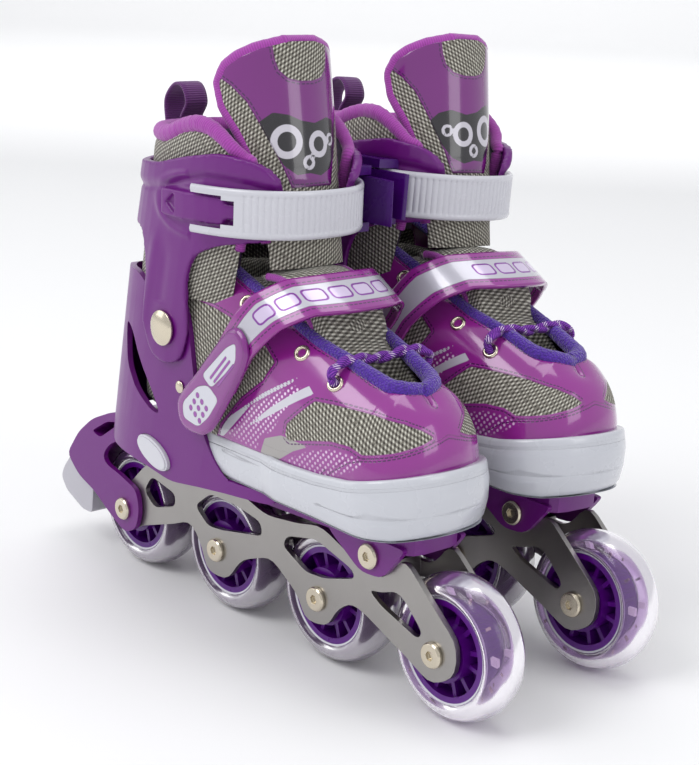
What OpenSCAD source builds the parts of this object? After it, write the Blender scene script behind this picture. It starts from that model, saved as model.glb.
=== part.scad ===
// A pair of size-adjustable inline skates, one mirrored from the other.
// Each skate is drawn in its own frame: +X to the toes, +Z up, the ground at
// Z = 0, the middle of the wheelbase at X = 0 and the outer side at -Y.

/* [Pair] */
// Distance between the centre planes of the two skates, on the ground
pair_gap = 93; // [92:1:140]
// How far the left skate leans outward, in degrees
pair_lean = 3.5; // [3.5:0.5:6]
// Shift along X that centres the pair over its origin
centre_shift = 17.6; // [10:0.1:24]
// Shift along Y that centres the pair over its origin
side_shift = -6.8; // [-10:0.1:0]

/* [Wheels] */
// Wheel radius
wheel_r = 35; // [34:0.5:35.5]
// Wheel width
wheel_w = 24; // [22:1:24]
// Distance between neighbouring axles
wheel_pitch = 81; // [80:1:84]
// Radius where the tyre meets the hub
rim_r = 25; // [24:0.5:26]
// Axle radius
axle_r = 4; // [3.5:0.5:4]

/* [Frame] */
// Distance between the outer faces of the two side plates
frame_w = 34; // [34:0.5:35]
// Thickness of a side plate
plate_t = 3; // [2:0.5:3]

/* [Boot] */
// Outer half-width of the moulded heel shell
shell_y = 39.5; // [39:0.5:40]
// Outer half-width of the cuff
cuff_y = 43.5; // [43:0.5:44]
// Wall thickness of the shell and the cuff
wall = 3; // [2.5:0.5:3]
// Half-width of the white sole in front of the shell
sole_y = 39; // [38:0.5:40]
// How far the toe part slides forward between the smallest and largest size
size_travel = 24; // [12:1:24]

/* [Straps] */
// Lower edge of the ankle strap
strap_z = 208; // [206:1:210]
// Height of the ankle strap
strap_h = 23.5; // [22:0.5:24]
// Half-width of the instep strap
instep_y = 43.5; // [43:0.5:44]

/* [Hidden] */
$fn = 48;
SIDES = ["right", "left"];
PIECES = [
    "frame", "wheel_hub_1", "wheel_hub_2", "wheel_hub_3", "wheel_hub_4",
    "tyre_1", "tyre_2", "tyre_3", "tyre_4", "bearings", "axles", "fasteners",
    "shell", "cuff", "size_button", "brake_bracket", "brake_pad",
    "liner_foot", "liner_shaft", "toe_sole", "upper", "tongue", "eyelets",
    "lace", "ankle_strap", "buckle_base", "buckle_lever", "instep_strap",
    "strap_flap", "heel_loop"
];

purple = "#7d2b92";
patent = "#a83ca6";
white = "#e6e8ee";
mesh_grey = "#85817a";

run_gap = 0.05;
// Half-width of the tread that touches the ground
tread_y = 2.4;
axle_x = [for (i = [0:3]) (i - 1.5) * wheel_pitch];
plate_y = frame_w / 2;
arm_y = plate_y + 3.3;
pivot = [-54, 155];
stud_at = [-44, 126];
mount_at = [80, 70.5];
screw_x = -75.5;
button_at = [-65.5, 86];
button_tilt = -20;
deck_z = 76;
sole_z = 86;
insole_z = 107;
lean_foot = 9;
lean_cuff = 12;
strap_mid = strap_z + strap_h / 2;
lever_pin = [-39, 49.6];
lever_pin_r = 1;
rake = 21;
strap_rake = 30;
crown_z = 184.5;
instep_h = 44;

// ---------------------------------------------------------------- outlines

// Side plate of the frame, clockwise from its rear top corner
plate_edge = [
    [-130, 44], [-119, 51], [-104, 66], [-77, 65], [-58, 68], [-38, 74],
    [-19, 71], [-1, 66], [24, 69], [41, 73], [54, 68], [77, 60], [88, 61],
    [99, 75], [110, 66], [123, 55], [136, 45], [136, 29], [121, 20],
    [106, 27], [75, 39], [65, 41], [55, 34], [49, 23], [32, 21], [26, 32],
    [4, 45], [-20, 36], [-31, 21], [-49, 21], [-54, 34], [-64, 44],
    [-81, 37], [-109, 28], [-121, 21], [-134, 27]
];
// The four windows of a side plate
plate_windows = [
    [[-100, 59], [-78, 55], [-78, 48], [-97, 42], [-107, 49]],
    [[-47, 64], [-60, 54], [-49, 46], [-37, 47], [-3, 54], [-5, 61], [-24, 64]],
    [[16, 60], [13, 54], [31, 46], [45, 47], [67, 54], [65, 58], [38, 65]],
    [[77, 52], [85, 47], [111, 39], [114, 43], [101, 55], [95, 57], [85, 53]]
];
// Lug of the base that takes the front mounting bolt
lug_edge = [[48, 80], [51, 75], [74, 61], [89, 62], [102, 78], [102, 80]];
// Heel shell seen from the side
shell_edge = [
    [-132, 92], [-126, 128], [-118, 160], [-114, 177], [-86, 178],
    [-72, 172], [-44, 172], [-38, 158], [-33, 130], [-27, 108], [-18, 94],
    [-8, 85.8], [22, 85.8], [22, 80], [-8, 79], [-30, 77], [-52, 74],
    [-72, 77], [-112, 80]
];
// Long opening on each side of the heel shell
shell_slot = [
    [-99, 150], [-95, 128], [-84, 116], [-70, 108], [-61, 107],
    [-68, 118], [-80, 132], [-90, 147]
];
// Cuff seen from the side, band, arms and pivot lobes
cuff_edge = [
    [-118, 236], [-96, 234], [-60, 237], [-36, 243], [-14, 247], [4, 244],
    [10, 236], [6, 206], [-18, 202], [-33, 195], [-38, 182], [-36.5, 155],
    [-42, 140], [-54, 136], [-66, 140], [-71.5, 155], [-70, 182],
    [-78, 202], [-118, 201]
];
// Base plate under the sole, seen from above
deck_edge = [
    [-112, -20], [-112, 20], [-60, 30], [0, 26], [60, 20], [104, 18],
    [104, -18], [60, -20], [0, -26], [-60, -30]
];
// Brake bracket, brake pad and the slot in the bracket's roof
bracket_edge = [
    [-180, 52], [-168, 68], [-154, 79], [-136, 87], [-118, 91], [-112, 91],
    [-112, 79], [-136, 69], [-143, 61], [-140, 56], [-128, 54], [-110, 49],
    [-107, 38], [-110, 26], [-121, 21], [-136, 28], [-152, 37], [-168, 42]
];
bracket_slot = [[-154, 72], [-139, 81], [-125, 84], [-146, 70]];
pad_edge = [
    [-181, 51], [-190, 40], [-192.5, 34], [-187, 27], [-170, 20],
    [-160, 20], [-158.5, 37.5], [-168, 41.5]
];
// White sole and the upper seen from the side
sole_edge = [
    [-104, 86], [96, 86], [114, 89], [128, 96], [137, 106], [136.5, 118],
    [118, 115], [92, 110.5], [60, 108], [-104, 107]
];
upper_edge = [
    [-62, 107.2], [-62, 180], [-8, 180], [90, 152], [108, 142.5], [124, 131],
    [130, 122], [131, 107.2]
];
upper_inside = [
    [-70, 100], [-70, 190], [0, 190], [90, 148.5], [106, 139.5], [121, 129],
    [126.5, 120], [127, 100]
];
// Top of the liner's foot and tongue, and of the hollow inside them
liner_edge = [
    [-120, 100], [-120, 172], [-60, 183], [18, 183], [88, 148.5],
    [105, 139], [120.5, 128.5], [126, 119.5], [126, 100]
];
hump_edge = [
    [10, 120], [10, 183], [23, 190], [31, 187], [38, 180.5], [44, 166],
    [49, 152], [53, 138], [53, 120]
];
hollow_edge = [
    [-120, 100], [-120, 190], [2, 190], [26, 174], [36, 160], [42, 144],
    [46, 131], [96, 131], [110, 125], [118, 116], [118, 100]
];
// Instep strap stripe and its loose end seen from the side
strap_stripe = [
    [-24, 110], [-11, 113], [4, 134], [16, 154], [32, 171], [53, 179],
    [34, 196], [10, 183], [-12, 152], [-33, 120]
];
flap_edge = [
    [-40, 121], [-33, 108], [-18, 107], [-6, 116], [22, 154], [6, 170],
    [-8, 158]
];
// Outline of the anchor tab that fills the fork of the ankle strap
tab_edge = [
    [-52, -6.4], [-27, -6.9], [-10, -6.4], [-10, -3.6], [-4, -3.6],
    [-4, 3.6], [-10, 3.6], [-10, 6.4], [-27, 6.9], [-52, 6.4]
];
// Collar of the liner and the heel loop seen from the side
collar_edge = [
    [-122, 190], [-122, 249], [-96, 250], [-60, 251], [-42, 259],
    [-22, 262], [-14, 258], [-13, 190]
];
loop_outer = [
    [-105, 250.2], [-107, 262], [-99, 271], [-91, 271], [-86, 262],
    [-91, 250.2]
];
loop_inner = [
    [-103.4, 249], [-105.2, 261.5], [-98.4, 269.2], [-91.6, 269.2],
    [-87.8, 261.5], [-92.6, 249]
];
// Throat of the upper seen from above
throat_edge = [[-70, -24], [40, -22], [78, -17], [90, 0], [78, 17], [40, 22], [-70, 24]];

// Centre line of the lace between the two lowest eyelets
lace_route = [
    [59.6, -25.8, 148.2], [60, -28, 149.9], [60.3, -29.8, 151.2], [60.5, -31, 152.7],
    [60.6, -31.3, 154.6], [60.5, -30.4, 156.4], [60.4, -28, 158], [60.2, -24.4, 159.3],
    [60, -20, 160.1], [59.8, -14, 159.8], [59.5, -7, 158.8], [59.4, 0, 158.4],
    [59.5, 7, 158.8], [59.8, 14, 159.8], [60, 20, 160.1], [60.2, 24.4, 159.3],
    [60.4, 28, 158], [60.5, 30.4, 156.4], [60.6, 31.3, 154.6], [60.5, 31, 152.7],
    [60.3, 29.8, 151.2], [60, 28, 149.9], [59.6, 25.8, 148.2]
];
lace_r = 2.2;
eyelet_x = [-6, 36, 60];

// --------------------------------------------------------------- functions

// A corner at b between a and c, cut back by d and bent in n steps
function corner(a, b, c, d, n) =
    let (u = (a - b) / norm(a - b))
    let (w = (c - b) / norm(c - b))
    let (p = b + u * min(d, norm(a - b) * 0.48))
    let (q = b + w * min(d, norm(c - b) * 0.48))
    [for (i = [0:n]) let (t = i / n) (1 - t) * (1 - t) * p + 2 * t * (1 - t) * b + t * t * q];
// A closed outline with every corner rounded
function rounded(pts, d, n = 3) =
    let (k = len(pts))
    [for (i = [0:k - 1]) each corner(pts[(i + k - 1) % k], pts[i], pts[(i + 1) % k], d, n)];
function sgn_pow(v, e) = sign(v) * pow(abs(v), e);
// Plan of the leg: half-width b, reaching back to x0 - back and on to x0 + front
function oval(x0, back, front, b, e = 2.3) =
    [for (a = [0:7.5:359]) [
        x0 + (cos(a) > 0 ? front : back) * sgn_pow(cos(a), 2 / e),
        b * sgn_pow(sin(a), 2 / e)
    ]];
// Half plan of a foot: straight sides, round heel and round toe
function sole_plan(heel_x, tip_x, b, rear_b, step_x) =
    let (toe_x = tip_x - 48)
    let (heel_a = 40)
    concat(
        [for (a = [-90:10:90]) [toe_x + 48 * sgn_pow(cos(a), 0.95), b * sgn_pow(sin(a), 0.8)]],
        [[step_x, b], [step_x, rear_b]],
        [for (a = [90:15:270]) [heel_x + heel_a * (1 + cos(a)), rear_b * sin(a)]],
        [[step_x, -rear_b], [step_x, -b]]
    );
// Arch across the instep: half-width b, crown height h, legs down by drop
function arch(b, h, drop) =
    concat(
        [[b, -drop]],
        [for (a = [0:9:180]) [b * sgn_pow(cos(a), 0.8), h * sgn_pow(sin(a), 0.8)]],
        [[-b, -drop]]
    );
// Rings of a round tube swept along a route
function unit(v) = v / norm(v);
function ring_at(route, i, r, sides) =
    let (last = len(route) - 1)
    let (t = unit(route[min(i + 1, last)] - route[max(i - 1, 0)]))
    let (u = unit(cross(t, [1, 0.1, 0])))
    let (v = cross(t, u))
    [for (k = [0:sides - 1]) route[i] + r * (cos(k * 360 / sides) * u + sin(k * 360 / sides) * v)];

// ----------------------------------------------------------------- helpers

// Places a piece of one skate in the frame of the pair
module place(side) {
    if (side == "right")
        translate([centre_shift, side_shift - pair_gap / 2, 0])
            children();
    if (side == "left")
        translate([centre_shift, side_shift + pair_gap / 2, tread_y * sin(pair_lean)])
            rotate([-pair_lean, 0, 0])
                mirror([0, 1, 0])
                    children();
}
// Extrudes a side view between two values of Y
module slab(y0, y1) {
    translate([0, y1, 0]) rotate([90, 0, 0]) linear_extrude(y1 - y0) children();
}
// Extrudes a side view on both sides of the skate, between two half-widths
module both_slabs(y0, y1) {
    slab(y0, y1) children();
    slab(-y1, -y0) children();
}
module cross_pin(at, r, y0, y1) {
    translate([at[0], y1, at[1]]) rotate([90, 0, 0]) cylinder(h = y1 - y0, r = r);
}
// A round-edged bolt head with a hexagonal socket, facing out on side s
module bolt_head(at, y, r, h, s) {
    translate([at[0], s * y, at[1]]) rotate([-90 * s, 0, 0]) difference() {
        union() {
            cylinder(h = h * 0.6, r = r);
            translate([0, 0, h * 0.6]) cylinder(h = h * 0.4, r1 = r, r2 = r - 0.8);
        }
        translate([0, 0, h * 0.35]) cylinder(h = h, r = 2.4, $fn = 6);
    }
}
// Column over a plan, leaning forward about a point that it keeps
module leaning(plan, at, lean, below, h) {
    translate(at) rotate([0, lean, 0]) translate([-at[0], -at[1], -below])
        linear_extrude(h) polygon(plan);
}
// Tunnel with an arch section, running down towards the toes
module tunnel(b, h, drop, crown, angle) {
    translate([0, 0, crown]) rotate([0, angle, 0]) translate([-160, 0, -h])
        rotate([90, 0, 90]) linear_extrude(400) polygon(arch(b, h, drop));
}
// Solid toe-and-instep form; inset shrinks it on every side
module foot_form(inset, heel_x, tip_x, z0) {
    intersection() {
        translate([0, 0, z0]) linear_extrude(120)
            polygon(sole_plan(heel_x + inset, tip_x - inset, 36.2 - inset, 36.2 - inset, 0));
        tunnel(36.2 - inset, instep_h - inset, 160, crown_z - inset / cos(rake), rake);
    }
}

// --------------------------------------------------------- rolling chassis

module frame() {
    color("#b9bbbe") difference() {
        union() {
            both_slabs(plate_y - plate_t, plate_y) polygon(rounded(plate_edge, 7));
            for (x = [screw_x, 4, 75])
                translate([x - 4.5, -plate_y + plate_t, 54])
                    cube([9, frame_w - 2 * plate_t, 9.8]);
        }
        for (w = plate_windows) slab(-20, 20) polygon(rounded(w, 4));
        for (x = axle_x) cross_pin([x, wheel_r], axle_r + run_gap, -20, 20);
        cross_pin(mount_at, 3.5 + run_gap, -20, 20);
        translate([screw_x, 0, 50]) cylinder(h = 20, r = 2.5 + run_gap);
    }
}

module wheel_hub(i) {
    boss_r = 14.5;
    color(purple) translate([axle_x[i], 0, wheel_r]) rotate([90, 0, 0]) difference() {
        union() {
            cylinder(h = wheel_w, r = boss_r, center = true);
            difference() {
                cylinder(h = wheel_w - 4, r = rim_r, center = true);
                cylinder(h = wheel_w, r = rim_r - 3.5, center = true);
            }
            cylinder(h = 2.4, r = rim_r - 2, center = true);
            for (a = [0:60:300]) for (da = [-13, 13]) rotate(a + da)
                translate([boss_r - 2, -1.1, -7.5]) cube([rim_r - boss_r, 2.2, 15]);
        }
        cylinder(h = wheel_w + 2, r = 11 + run_gap, center = true);
    }
}

module tyre(i) {
    w = wheel_w / 2;
    profile = [
        [rim_r, -w + 2], [rim_r + 1.5, -w + 0.3], [rim_r + 3.5, -w], [rim_r + 6, -w + 1.2],
        [rim_r + 8, -w + 3.6], [wheel_r - 0.8, -5.2], [wheel_r, -tread_y],
        [wheel_r, tread_y], [wheel_r - 0.8, 5.2], [rim_r + 8, w - 3.6],
        [rim_r + 6, w - 1.2], [rim_r + 3.5, w], [rim_r + 1.5, w - 0.3], [rim_r, w - 2]
    ];
    color("#a78ab8") translate([axle_x[i], 0, wheel_r]) rotate([90, 0, 0])
        rotate_extrude() polygon(profile);
}

module bearings() {
    color("#5a5a60") for (x = axle_x) for (s = [-1, 1])
        translate([x, s * 8.5, wheel_r]) rotate([90, 0, 0]) difference() {
            cylinder(h = 7, r = 11, center = true);
            cylinder(h = 8, r = axle_r + 0.02, center = true);
            for (z = [-3.6, 3.2]) translate([0, 0, z]) difference() {
                cylinder(h = 0.5, r = 9.4);
                cylinder(h = 0.5, r = 6);
            }
        }
}

module axles() {
    color("#c9c4b8") for (i = [0:3]) {
        x = axle_x[i];
        head_y = (i == 0 ? arm_y : plate_y) + 0.05;
        cross_pin([x, wheel_r], axle_r, -head_y, head_y);
        for (s = [-1, 1]) {
            bolt_head([x, wheel_r], head_y, 6.3, 2.4, s);
            translate([x, s * 12.95, wheel_r]) rotate([90, 0, 0]) difference() {
                cylinder(h = 1.9, r = 6.2, center = true);
                cylinder(h = 3, r = axle_r + 0.02, center = true);
            }
        }
        translate([x, 0, wheel_r]) rotate([90, 0, 0]) difference() {
            cylinder(h = 9.8, r = 5.8, center = true);
            cylinder(h = 11, r = axle_r + 0.02, center = true);
        }
    }
}

module fasteners() {
    color("#c9c4b8") {
        cross_pin(mount_at, 3.5, -arm_y - 0.05, arm_y + 0.05);
        for (s = [-1, 1]) {
            bolt_head(mount_at, arm_y + 0.05, 6.3, 2.4, s);
            // Pivot rivet of the cuff, with a domed cap
            translate([pivot[0], s * (shell_y - wall + 0.1), pivot[1]]) rotate([-90 * s, 0, 0]) {
                cylinder(h = cuff_y - shell_y + wall, r = 4);
                translate([0, 0, cuff_y - shell_y + wall]) {
                    cylinder(h = 1.2, r = 9);
                    translate([0, 0, 1.2]) cylinder(h = 1.4, r1 = 9, r2 = 6);
                }
            }
            // Stud that ties the shell to its strap
            translate([stud_at[0], s * shell_y, stud_at[1]]) rotate([-90 * s, 0, 0]) {
                cylinder(h = 0.7, r = 3.2);
                translate([0, 0, 0.7]) cylinder(h = 0.7, r1 = 3.2, r2 = 1.8);
            }
        }
        // Rear frame screw, down through the deck
        translate([screw_x, 0, 54]) cylinder(h = 28, r = 2.5);
        translate([screw_x, 0, 82]) cylinder(h = 3.2, r = 5);
        // Brake screw, up through the pad
        translate([-172, 0, 26]) cylinder(h = 32, r = 2.5);
        translate([-172, 0, 23]) cylinder(h = 3, r = 4.5);
    }
}

module brake_bracket() {
    color(purple) difference() {
        slab(-arm_y, arm_y) polygon(rounded(bracket_edge, 5));
        slab(-arm_y - 1, arm_y + 1) polygon(rounded(bracket_slot, 3));
        cross_pin([axle_x[0], wheel_r], wheel_r + 3.5, -plate_y - 0.3, plate_y + 0.3);
        translate([-135, -plate_y - 0.3, 10]) cube([40, frame_w + 0.6, 58]);
        cross_pin([axle_x[0], wheel_r], axle_r + run_gap, -30, 30);
        translate([-172, 0, 20]) cylinder(h = 38.4, r = 2.5 + run_gap);
    }
}

module brake_pad() {
    color("#d4d4da") difference() {
        slab(-16.5, 16.5) polygon(rounded(pad_edge, 3));
        translate([-172, 0, 10]) cylinder(h = 60, r = 2.5 + run_gap);
        translate([-172, 0, 10]) cylinder(h = 16.1, r = 4.6);
    }
}

// -------------------------------------------------------------- hard shell

module shell_form(b) {
    leaning(oval(-70, 60 - (shell_y - b), 120, b, 2.6), [-130, 0, 92], lean_foot, 40, 140);
}

module shell() {
    color(purple) difference() {
        union() {
            intersection() {
                difference() {
                    shell_form(shell_y);
                    shell_form(shell_y - wall);
                }
                slab(-60, 60) polygon(rounded(shell_edge, 6));
            }
            // Deck under the sole, filled out to the heel's walls
            translate([0, 0, deck_z]) linear_extrude(sole_z - deck_z - 0.2)
                polygon(rounded(deck_edge, 10));
            intersection() {
                translate([0, 0, 79]) linear_extrude(sole_z - 79.2)
                    polygon(oval(-70, 59, 119, shell_y - 1, 2.6));
                slab(-60, 60) polygon([[-130, 70], [-112, 90], [-20, 90], [0, 70]]);
            }
            both_slabs(plate_y + 0.3, arm_y) polygon(rounded(lug_edge, 5));
            translate([screw_x, 0, 64]) cylinder(h = 14, r = 7);
            // Socket that holds the front of the brake bracket
            translate([-111.8, -12, 79.5]) cube([12, 24, 6.3]);
        }
        slab(-60, 60) polygon(rounded(shell_slot, 5));
        translate([-140, -arm_y - 0.1, 70]) cube([28.1, 2 * arm_y + 0.2, 23]);
        // Way of the sliding toe part between the two walls
        translate([-62.3, -36.5, sole_z - 0.1]) cube([120, 73, 100]);
        cross_pin(pivot, 4 + run_gap, -60, 60);
        cross_pin(mount_at, 3.5 + run_gap, -60, 60);
        translate([screw_x, 0, 60]) cylinder(h = 30, r = 2.5 + run_gap);
        translate([screw_x, 0, 81.9]) cylinder(h = 10, r = 5.1);
        // Pocket of the size button
        translate([button_at[0], -30, button_at[1]]) rotate([90, button_tilt * -1, 0])
            linear_extrude(20) polygon(oval(0, 14.3, 14.3, 6.9, 2));
    }
}

module size_button() {
    color(white) translate([button_at[0], -shell_y + 0.7, button_at[1]])
        rotate([90, button_tilt * -1, 0]) {
            linear_extrude(2.4) polygon(oval(0, 14, 14, 6.6, 2));
            translate([0, 0, 2.4]) linear_extrude(0.9) polygon(oval(0, 13, 13, 5.6, 2));
        }
}

module cuff_form(b, back, front) {
    leaning(oval(-45, back, front, b), [0, 0, strap_mid], lean_cuff, 110, 160);
}

module cuff() {
    color(purple) difference() {
        union() {
            intersection() {
                difference() {
                    cuff_form(cuff_y, 58, 59);
                    cuff_form(cuff_y - wall, 58 - wall, 59 - wall);
                }
                slab(-60, 60) polygon(rounded(cuff_edge, 6));
            }
            // Anchor tab moulded on the outer side
            intersection() {
                difference() {
                    translate([0, 0, 200]) linear_extrude(40) polygon(oval(-45, 60, 63, 47));
                    cuff_form(cuff_y - 1, 57, 58);
                }
                translate([0, 0, strap_mid]) slab(-60, 0) polygon(tab_edge);
            }
        }
        cross_pin(pivot, 4 + run_gap, -60, 60);
        translate([0, 0, strap_mid]) slab(-60, -44.5)
            polygon([[-49, 0], [-42, 5.5], [-41, -5.5]]);
        // Running room over the heel shell, and seat of the tongue's edges
        intersection() {
            shell_form(shell_y + 0.4);
            slab(-60, 60) polygon([[-62, 125], [-62, 172], [-28, 172], [-28, 125]]);
        }
        translate([-22, 0, 196]) rotate([0, -9.5, 0]) translate([0, 0, -6])
            cylinder(h = 109, r = 35.4);
    }
}

// ------------------------------------------------------------- soft boot

module liner_foot() {
    color(mesh_grey) difference() {
        union() {
            intersection() {
                foot_form(3.4, -112, 131, insole_z + 0.3);
                slab(-60, 60) polygon(liner_edge);
            }
            // The tongue's lower half stands up through the throat
            slab(-20, 20) polygon(rounded(hump_edge, 5));
        }
        intersection() {
            foot_form(11, -112, 131, insole_z + 6);
            slab(-60, 60) polygon(hollow_edge);
        }
        // Dip under the lace, in front of the tongue
        translate([53.2, -16, 138]) cube([34, 32, 60]);
    }
}

module liner_shaft() {
    color(mesh_grey) difference() {
        intersection() {
            cuff_form(cuff_y - wall - 0.5, 54.5, 55);
            slab(-60, 60) polygon(rounded(collar_edge, 5));
        }
        cuff_form(cuff_y - wall - 8.5, 46.5, 90);
    }
}

module tongue() {
    color(patent) translate([-22, 0, 196]) rotate([0, -9.5, 0]) intersection() {
        linear_extrude(103) difference() {
            circle(r = 35);
            translate([-12, 0]) circle(r = 35.5);
        }
        translate([0, -28.5, 0]) cube([40, 57, 103]);
    }
}

module heel_loop() {
    color("#5f2a70") slab(-7, 7) difference() {
        polygon(rounded(loop_outer, 4));
        polygon(rounded(loop_inner, 4));
    }
}

module toe_sole() {
    color(white) difference() {
        intersection() {
            translate([0, 0, 80]) linear_extrude(50)
                polygon(sole_plan(-104, 137, sole_y, 36.2, 24));
            slab(-60, 60) polygon(rounded(sole_edge, 5));
        }
        // Seat of the upper inside the rim
        translate([0, 0, insole_z + 0.1]) linear_extrude(40)
            polygon(sole_plan(-112, 131.1, 36.3, 36.3, 0));
    }
}

// Places its children on the upper's surface at an eyelet, +Z pointing out
module at_eyelet(x, s) {
    z = crown_z - 11.6 - x * tan(rake);
    translate([x, s * 28, z]) rotate([-s * 52, rake * 0.7, 0]) children();
}

module upper() {
    color(patent) difference() {
        intersection() {
            foot_form(0, -112, 131, insole_z + 0.2);
            slab(-60, 60) polygon(rounded(upper_edge, 3));
        }
        intersection() {
            foot_form(3, -112, 131, insole_z - 5);
            slab(-60, 60) polygon(upper_inside);
        }
        translate([0, 0, 125]) linear_extrude(80) polygon(rounded(throat_edge, 8));
        for (x = eyelet_x) for (s = [-1, 1]) at_eyelet(x, s)
            translate([0, 0, -8]) cylinder(h = 20, r = 3.4);
    }
}

module eyelets() {
    color("#d8d8dc") for (x = eyelet_x) for (s = [-1, 1]) at_eyelet(x, s) difference() {
        union() {
            translate([0, 0, 0.4]) cylinder(h = 1, r1 = 4.9, r2 = 4.3);
            translate([0, 0, -1.4]) cylinder(h = 1.8, r = 3.3);
        }
        translate([0, 0, -3]) cylinder(h = 8, r = 2.6);
    }
}

module lace() {
    sides = 8;
    n = len(lace_route);
    rings = [for (i = [0:n - 1]) each ring_at(lace_route, i, lace_r, sides)];
    walls = [for (i = [0:n - 2]) for (k = [0:sides - 1]) let (j = (k + 1) % sides)
        [(i + 1) * sides + k, (i + 1) * sides + j, i * sides + j, i * sides + k]];
    ends = [[for (k = [0:sides - 1]) k], [for (k = [sides - 1:-1:0]) (n - 1) * sides + k]];
    color("#8a3fb0") polyhedron(points = rings, faces = concat(walls, ends));
}

// --------------------------------------------------------------- straps

module ankle_strap() {
    fork = [
        [-60, -7.4], [-9.4, -7.4], [-9.4, -4.2], [-3.2, -4.2],
        [-3.2, 4.2], [-9.4, 4.2], [-9.4, 7.4], [-60, 7.4]
    ];
    color(white) difference() {
        translate([0, 0, strap_z]) linear_extrude(strap_h) difference() {
            polygon(oval(-45, 62, 64.5, 48.8));
            polygon(oval(-45, 60, 61.5, 45.8));
            translate([-127, -60]) square([100, 60]);
            translate([-122, 0]) square([100, 60]);
        }
        translate([0, 0, strap_mid]) slab(-60, -20) polygon(fork);
        // Ladder of the ratchet, pressed into the outer face
        translate([0, 0, strap_z + 3]) linear_extrude(strap_h - 6) intersection() {
            difference() {
                polygon(oval(-45, 66, 68, 52));
                polygon(oval(-45, 60.8, 63.3, 47.6));
            }
            for (a = [-24:4:64]) translate([-45, 0]) rotate(a)
                translate([0, -0.8]) square([80, 1.6]);
        }
    }
}

module buckle_base() {
    color(purple) difference() {
        union() {
            // Plate between the cuff and the strap
            intersection() {
                translate([-46, 36, strap_z - 5]) cube([38, 14, strap_h + 10]);
                translate([0, 0, strap_z - 5]) linear_extrude(strap_h + 10)
                    polygon(oval(-45, 60, 61.1, 45.4));
            }
            for (z = [strap_z - 5, strap_z + strap_h + 0.4])
                translate([-46, 36, z]) cube([38, 15, 4.6]);
        }
        cuff_form(cuff_y + 0.05, 58, 59.05);
        translate([lever_pin[0], lever_pin[1], 190]) cylinder(h = 60, r = lever_pin_r + run_gap);
    }
}

module buckle_lever() {
    lever_plan = [
        [-41, 48.2], [-34, 48.2], [8, 47.3], [12, 48.2],
        [10, 49.8], [-28, 51.2], [-41, 51.1]
    ];
    color("#6a2390") {
        translate([0, 0, strap_z + 0.3]) linear_extrude(strap_h - 0.6)
            polygon(rounded(lever_plan, 1));
        translate([lever_pin[0], lever_pin[1], strap_z - 4])
            cylinder(h = strap_h + 8, r = lever_pin_r);
    }
}

module instep_strap() {
    color("#c4c4cc") intersection() {
        difference() {
            tunnel(instep_y, 44, 160, 211.5, strap_rake);
            tunnel(instep_y - 2.4, 44, 170, 208.7, strap_rake);
        }
        slab(-60, 60) polygon(rounded(strap_stripe, 5));
    }
}

module strap_flap() {
    color(patent) slab(-instep_y - 3, -instep_y - 0.4) polygon(rounded(flap_edge, 7));
}

// ----------------------------------------------------------------- drawing

module piece(name) {
    if (name == "frame") frame();
    for (i = [0:3]) {
        if (name == str("wheel_hub_", i + 1)) wheel_hub(i);
        if (name == str("tyre_", i + 1)) tyre(i);
    }
    if (name == "bearings") bearings();
    if (name == "axles") axles();
    if (name == "fasteners") fasteners();
    if (name == "shell") shell();
    if (name == "cuff") cuff();
    if (name == "size_button") size_button();
    if (name == "brake_bracket") brake_bracket();
    if (name == "brake_pad") brake_pad();
    if (name == "liner_foot") liner_foot();
    if (name == "liner_shaft") liner_shaft();
    if (name == "toe_sole") toe_sole();
    if (name == "upper") upper();
    if (name == "tongue") tongue();
    if (name == "eyelets") eyelets();
    if (name == "lace") lace();
    if (name == "ankle_strap") ankle_strap();
    if (name == "buckle_base") buckle_base();
    if (name == "buckle_lever") buckle_lever();
    if (name == "instep_strap") instep_strap();
    if (name == "strap_flap") strap_flap();
    if (name == "heel_loop") heel_loop();
}

for (s = SIDES) for (p = PIECES)
    place(s) piece(p);
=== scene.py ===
# Looks of a pair of inline skates. Each skate is drawn in its own frame, in
# millimetres: +X to the toes, +Z up, the outer side at -Y. world() places it.
import bpy
import bmesh
import math
import numpy as np
from mathutils import Matrix, Vector

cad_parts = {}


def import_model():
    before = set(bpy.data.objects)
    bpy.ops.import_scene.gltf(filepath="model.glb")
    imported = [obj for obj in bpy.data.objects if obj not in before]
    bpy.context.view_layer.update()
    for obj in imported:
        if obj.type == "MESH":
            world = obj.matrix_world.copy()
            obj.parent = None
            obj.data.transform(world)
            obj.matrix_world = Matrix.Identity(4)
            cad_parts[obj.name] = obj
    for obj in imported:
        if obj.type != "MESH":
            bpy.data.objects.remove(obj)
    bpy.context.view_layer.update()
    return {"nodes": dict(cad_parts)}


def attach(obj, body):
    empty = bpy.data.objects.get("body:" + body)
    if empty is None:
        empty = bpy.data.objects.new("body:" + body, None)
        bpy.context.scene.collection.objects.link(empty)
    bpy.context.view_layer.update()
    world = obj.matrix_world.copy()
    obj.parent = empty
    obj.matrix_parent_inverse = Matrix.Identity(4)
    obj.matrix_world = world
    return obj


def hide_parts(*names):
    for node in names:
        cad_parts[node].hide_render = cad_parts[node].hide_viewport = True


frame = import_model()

SIDES = ("right", "left")
SHIFT_X, SHIFT_Y, GAP, LEAN = 17.6, -6.8, 93.0, math.radians(3.5)
LIFT = 2.4 * math.sin(LEAN)
AXLE_X = [-121.5, -40.5, 40.5, 121.5]


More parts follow.
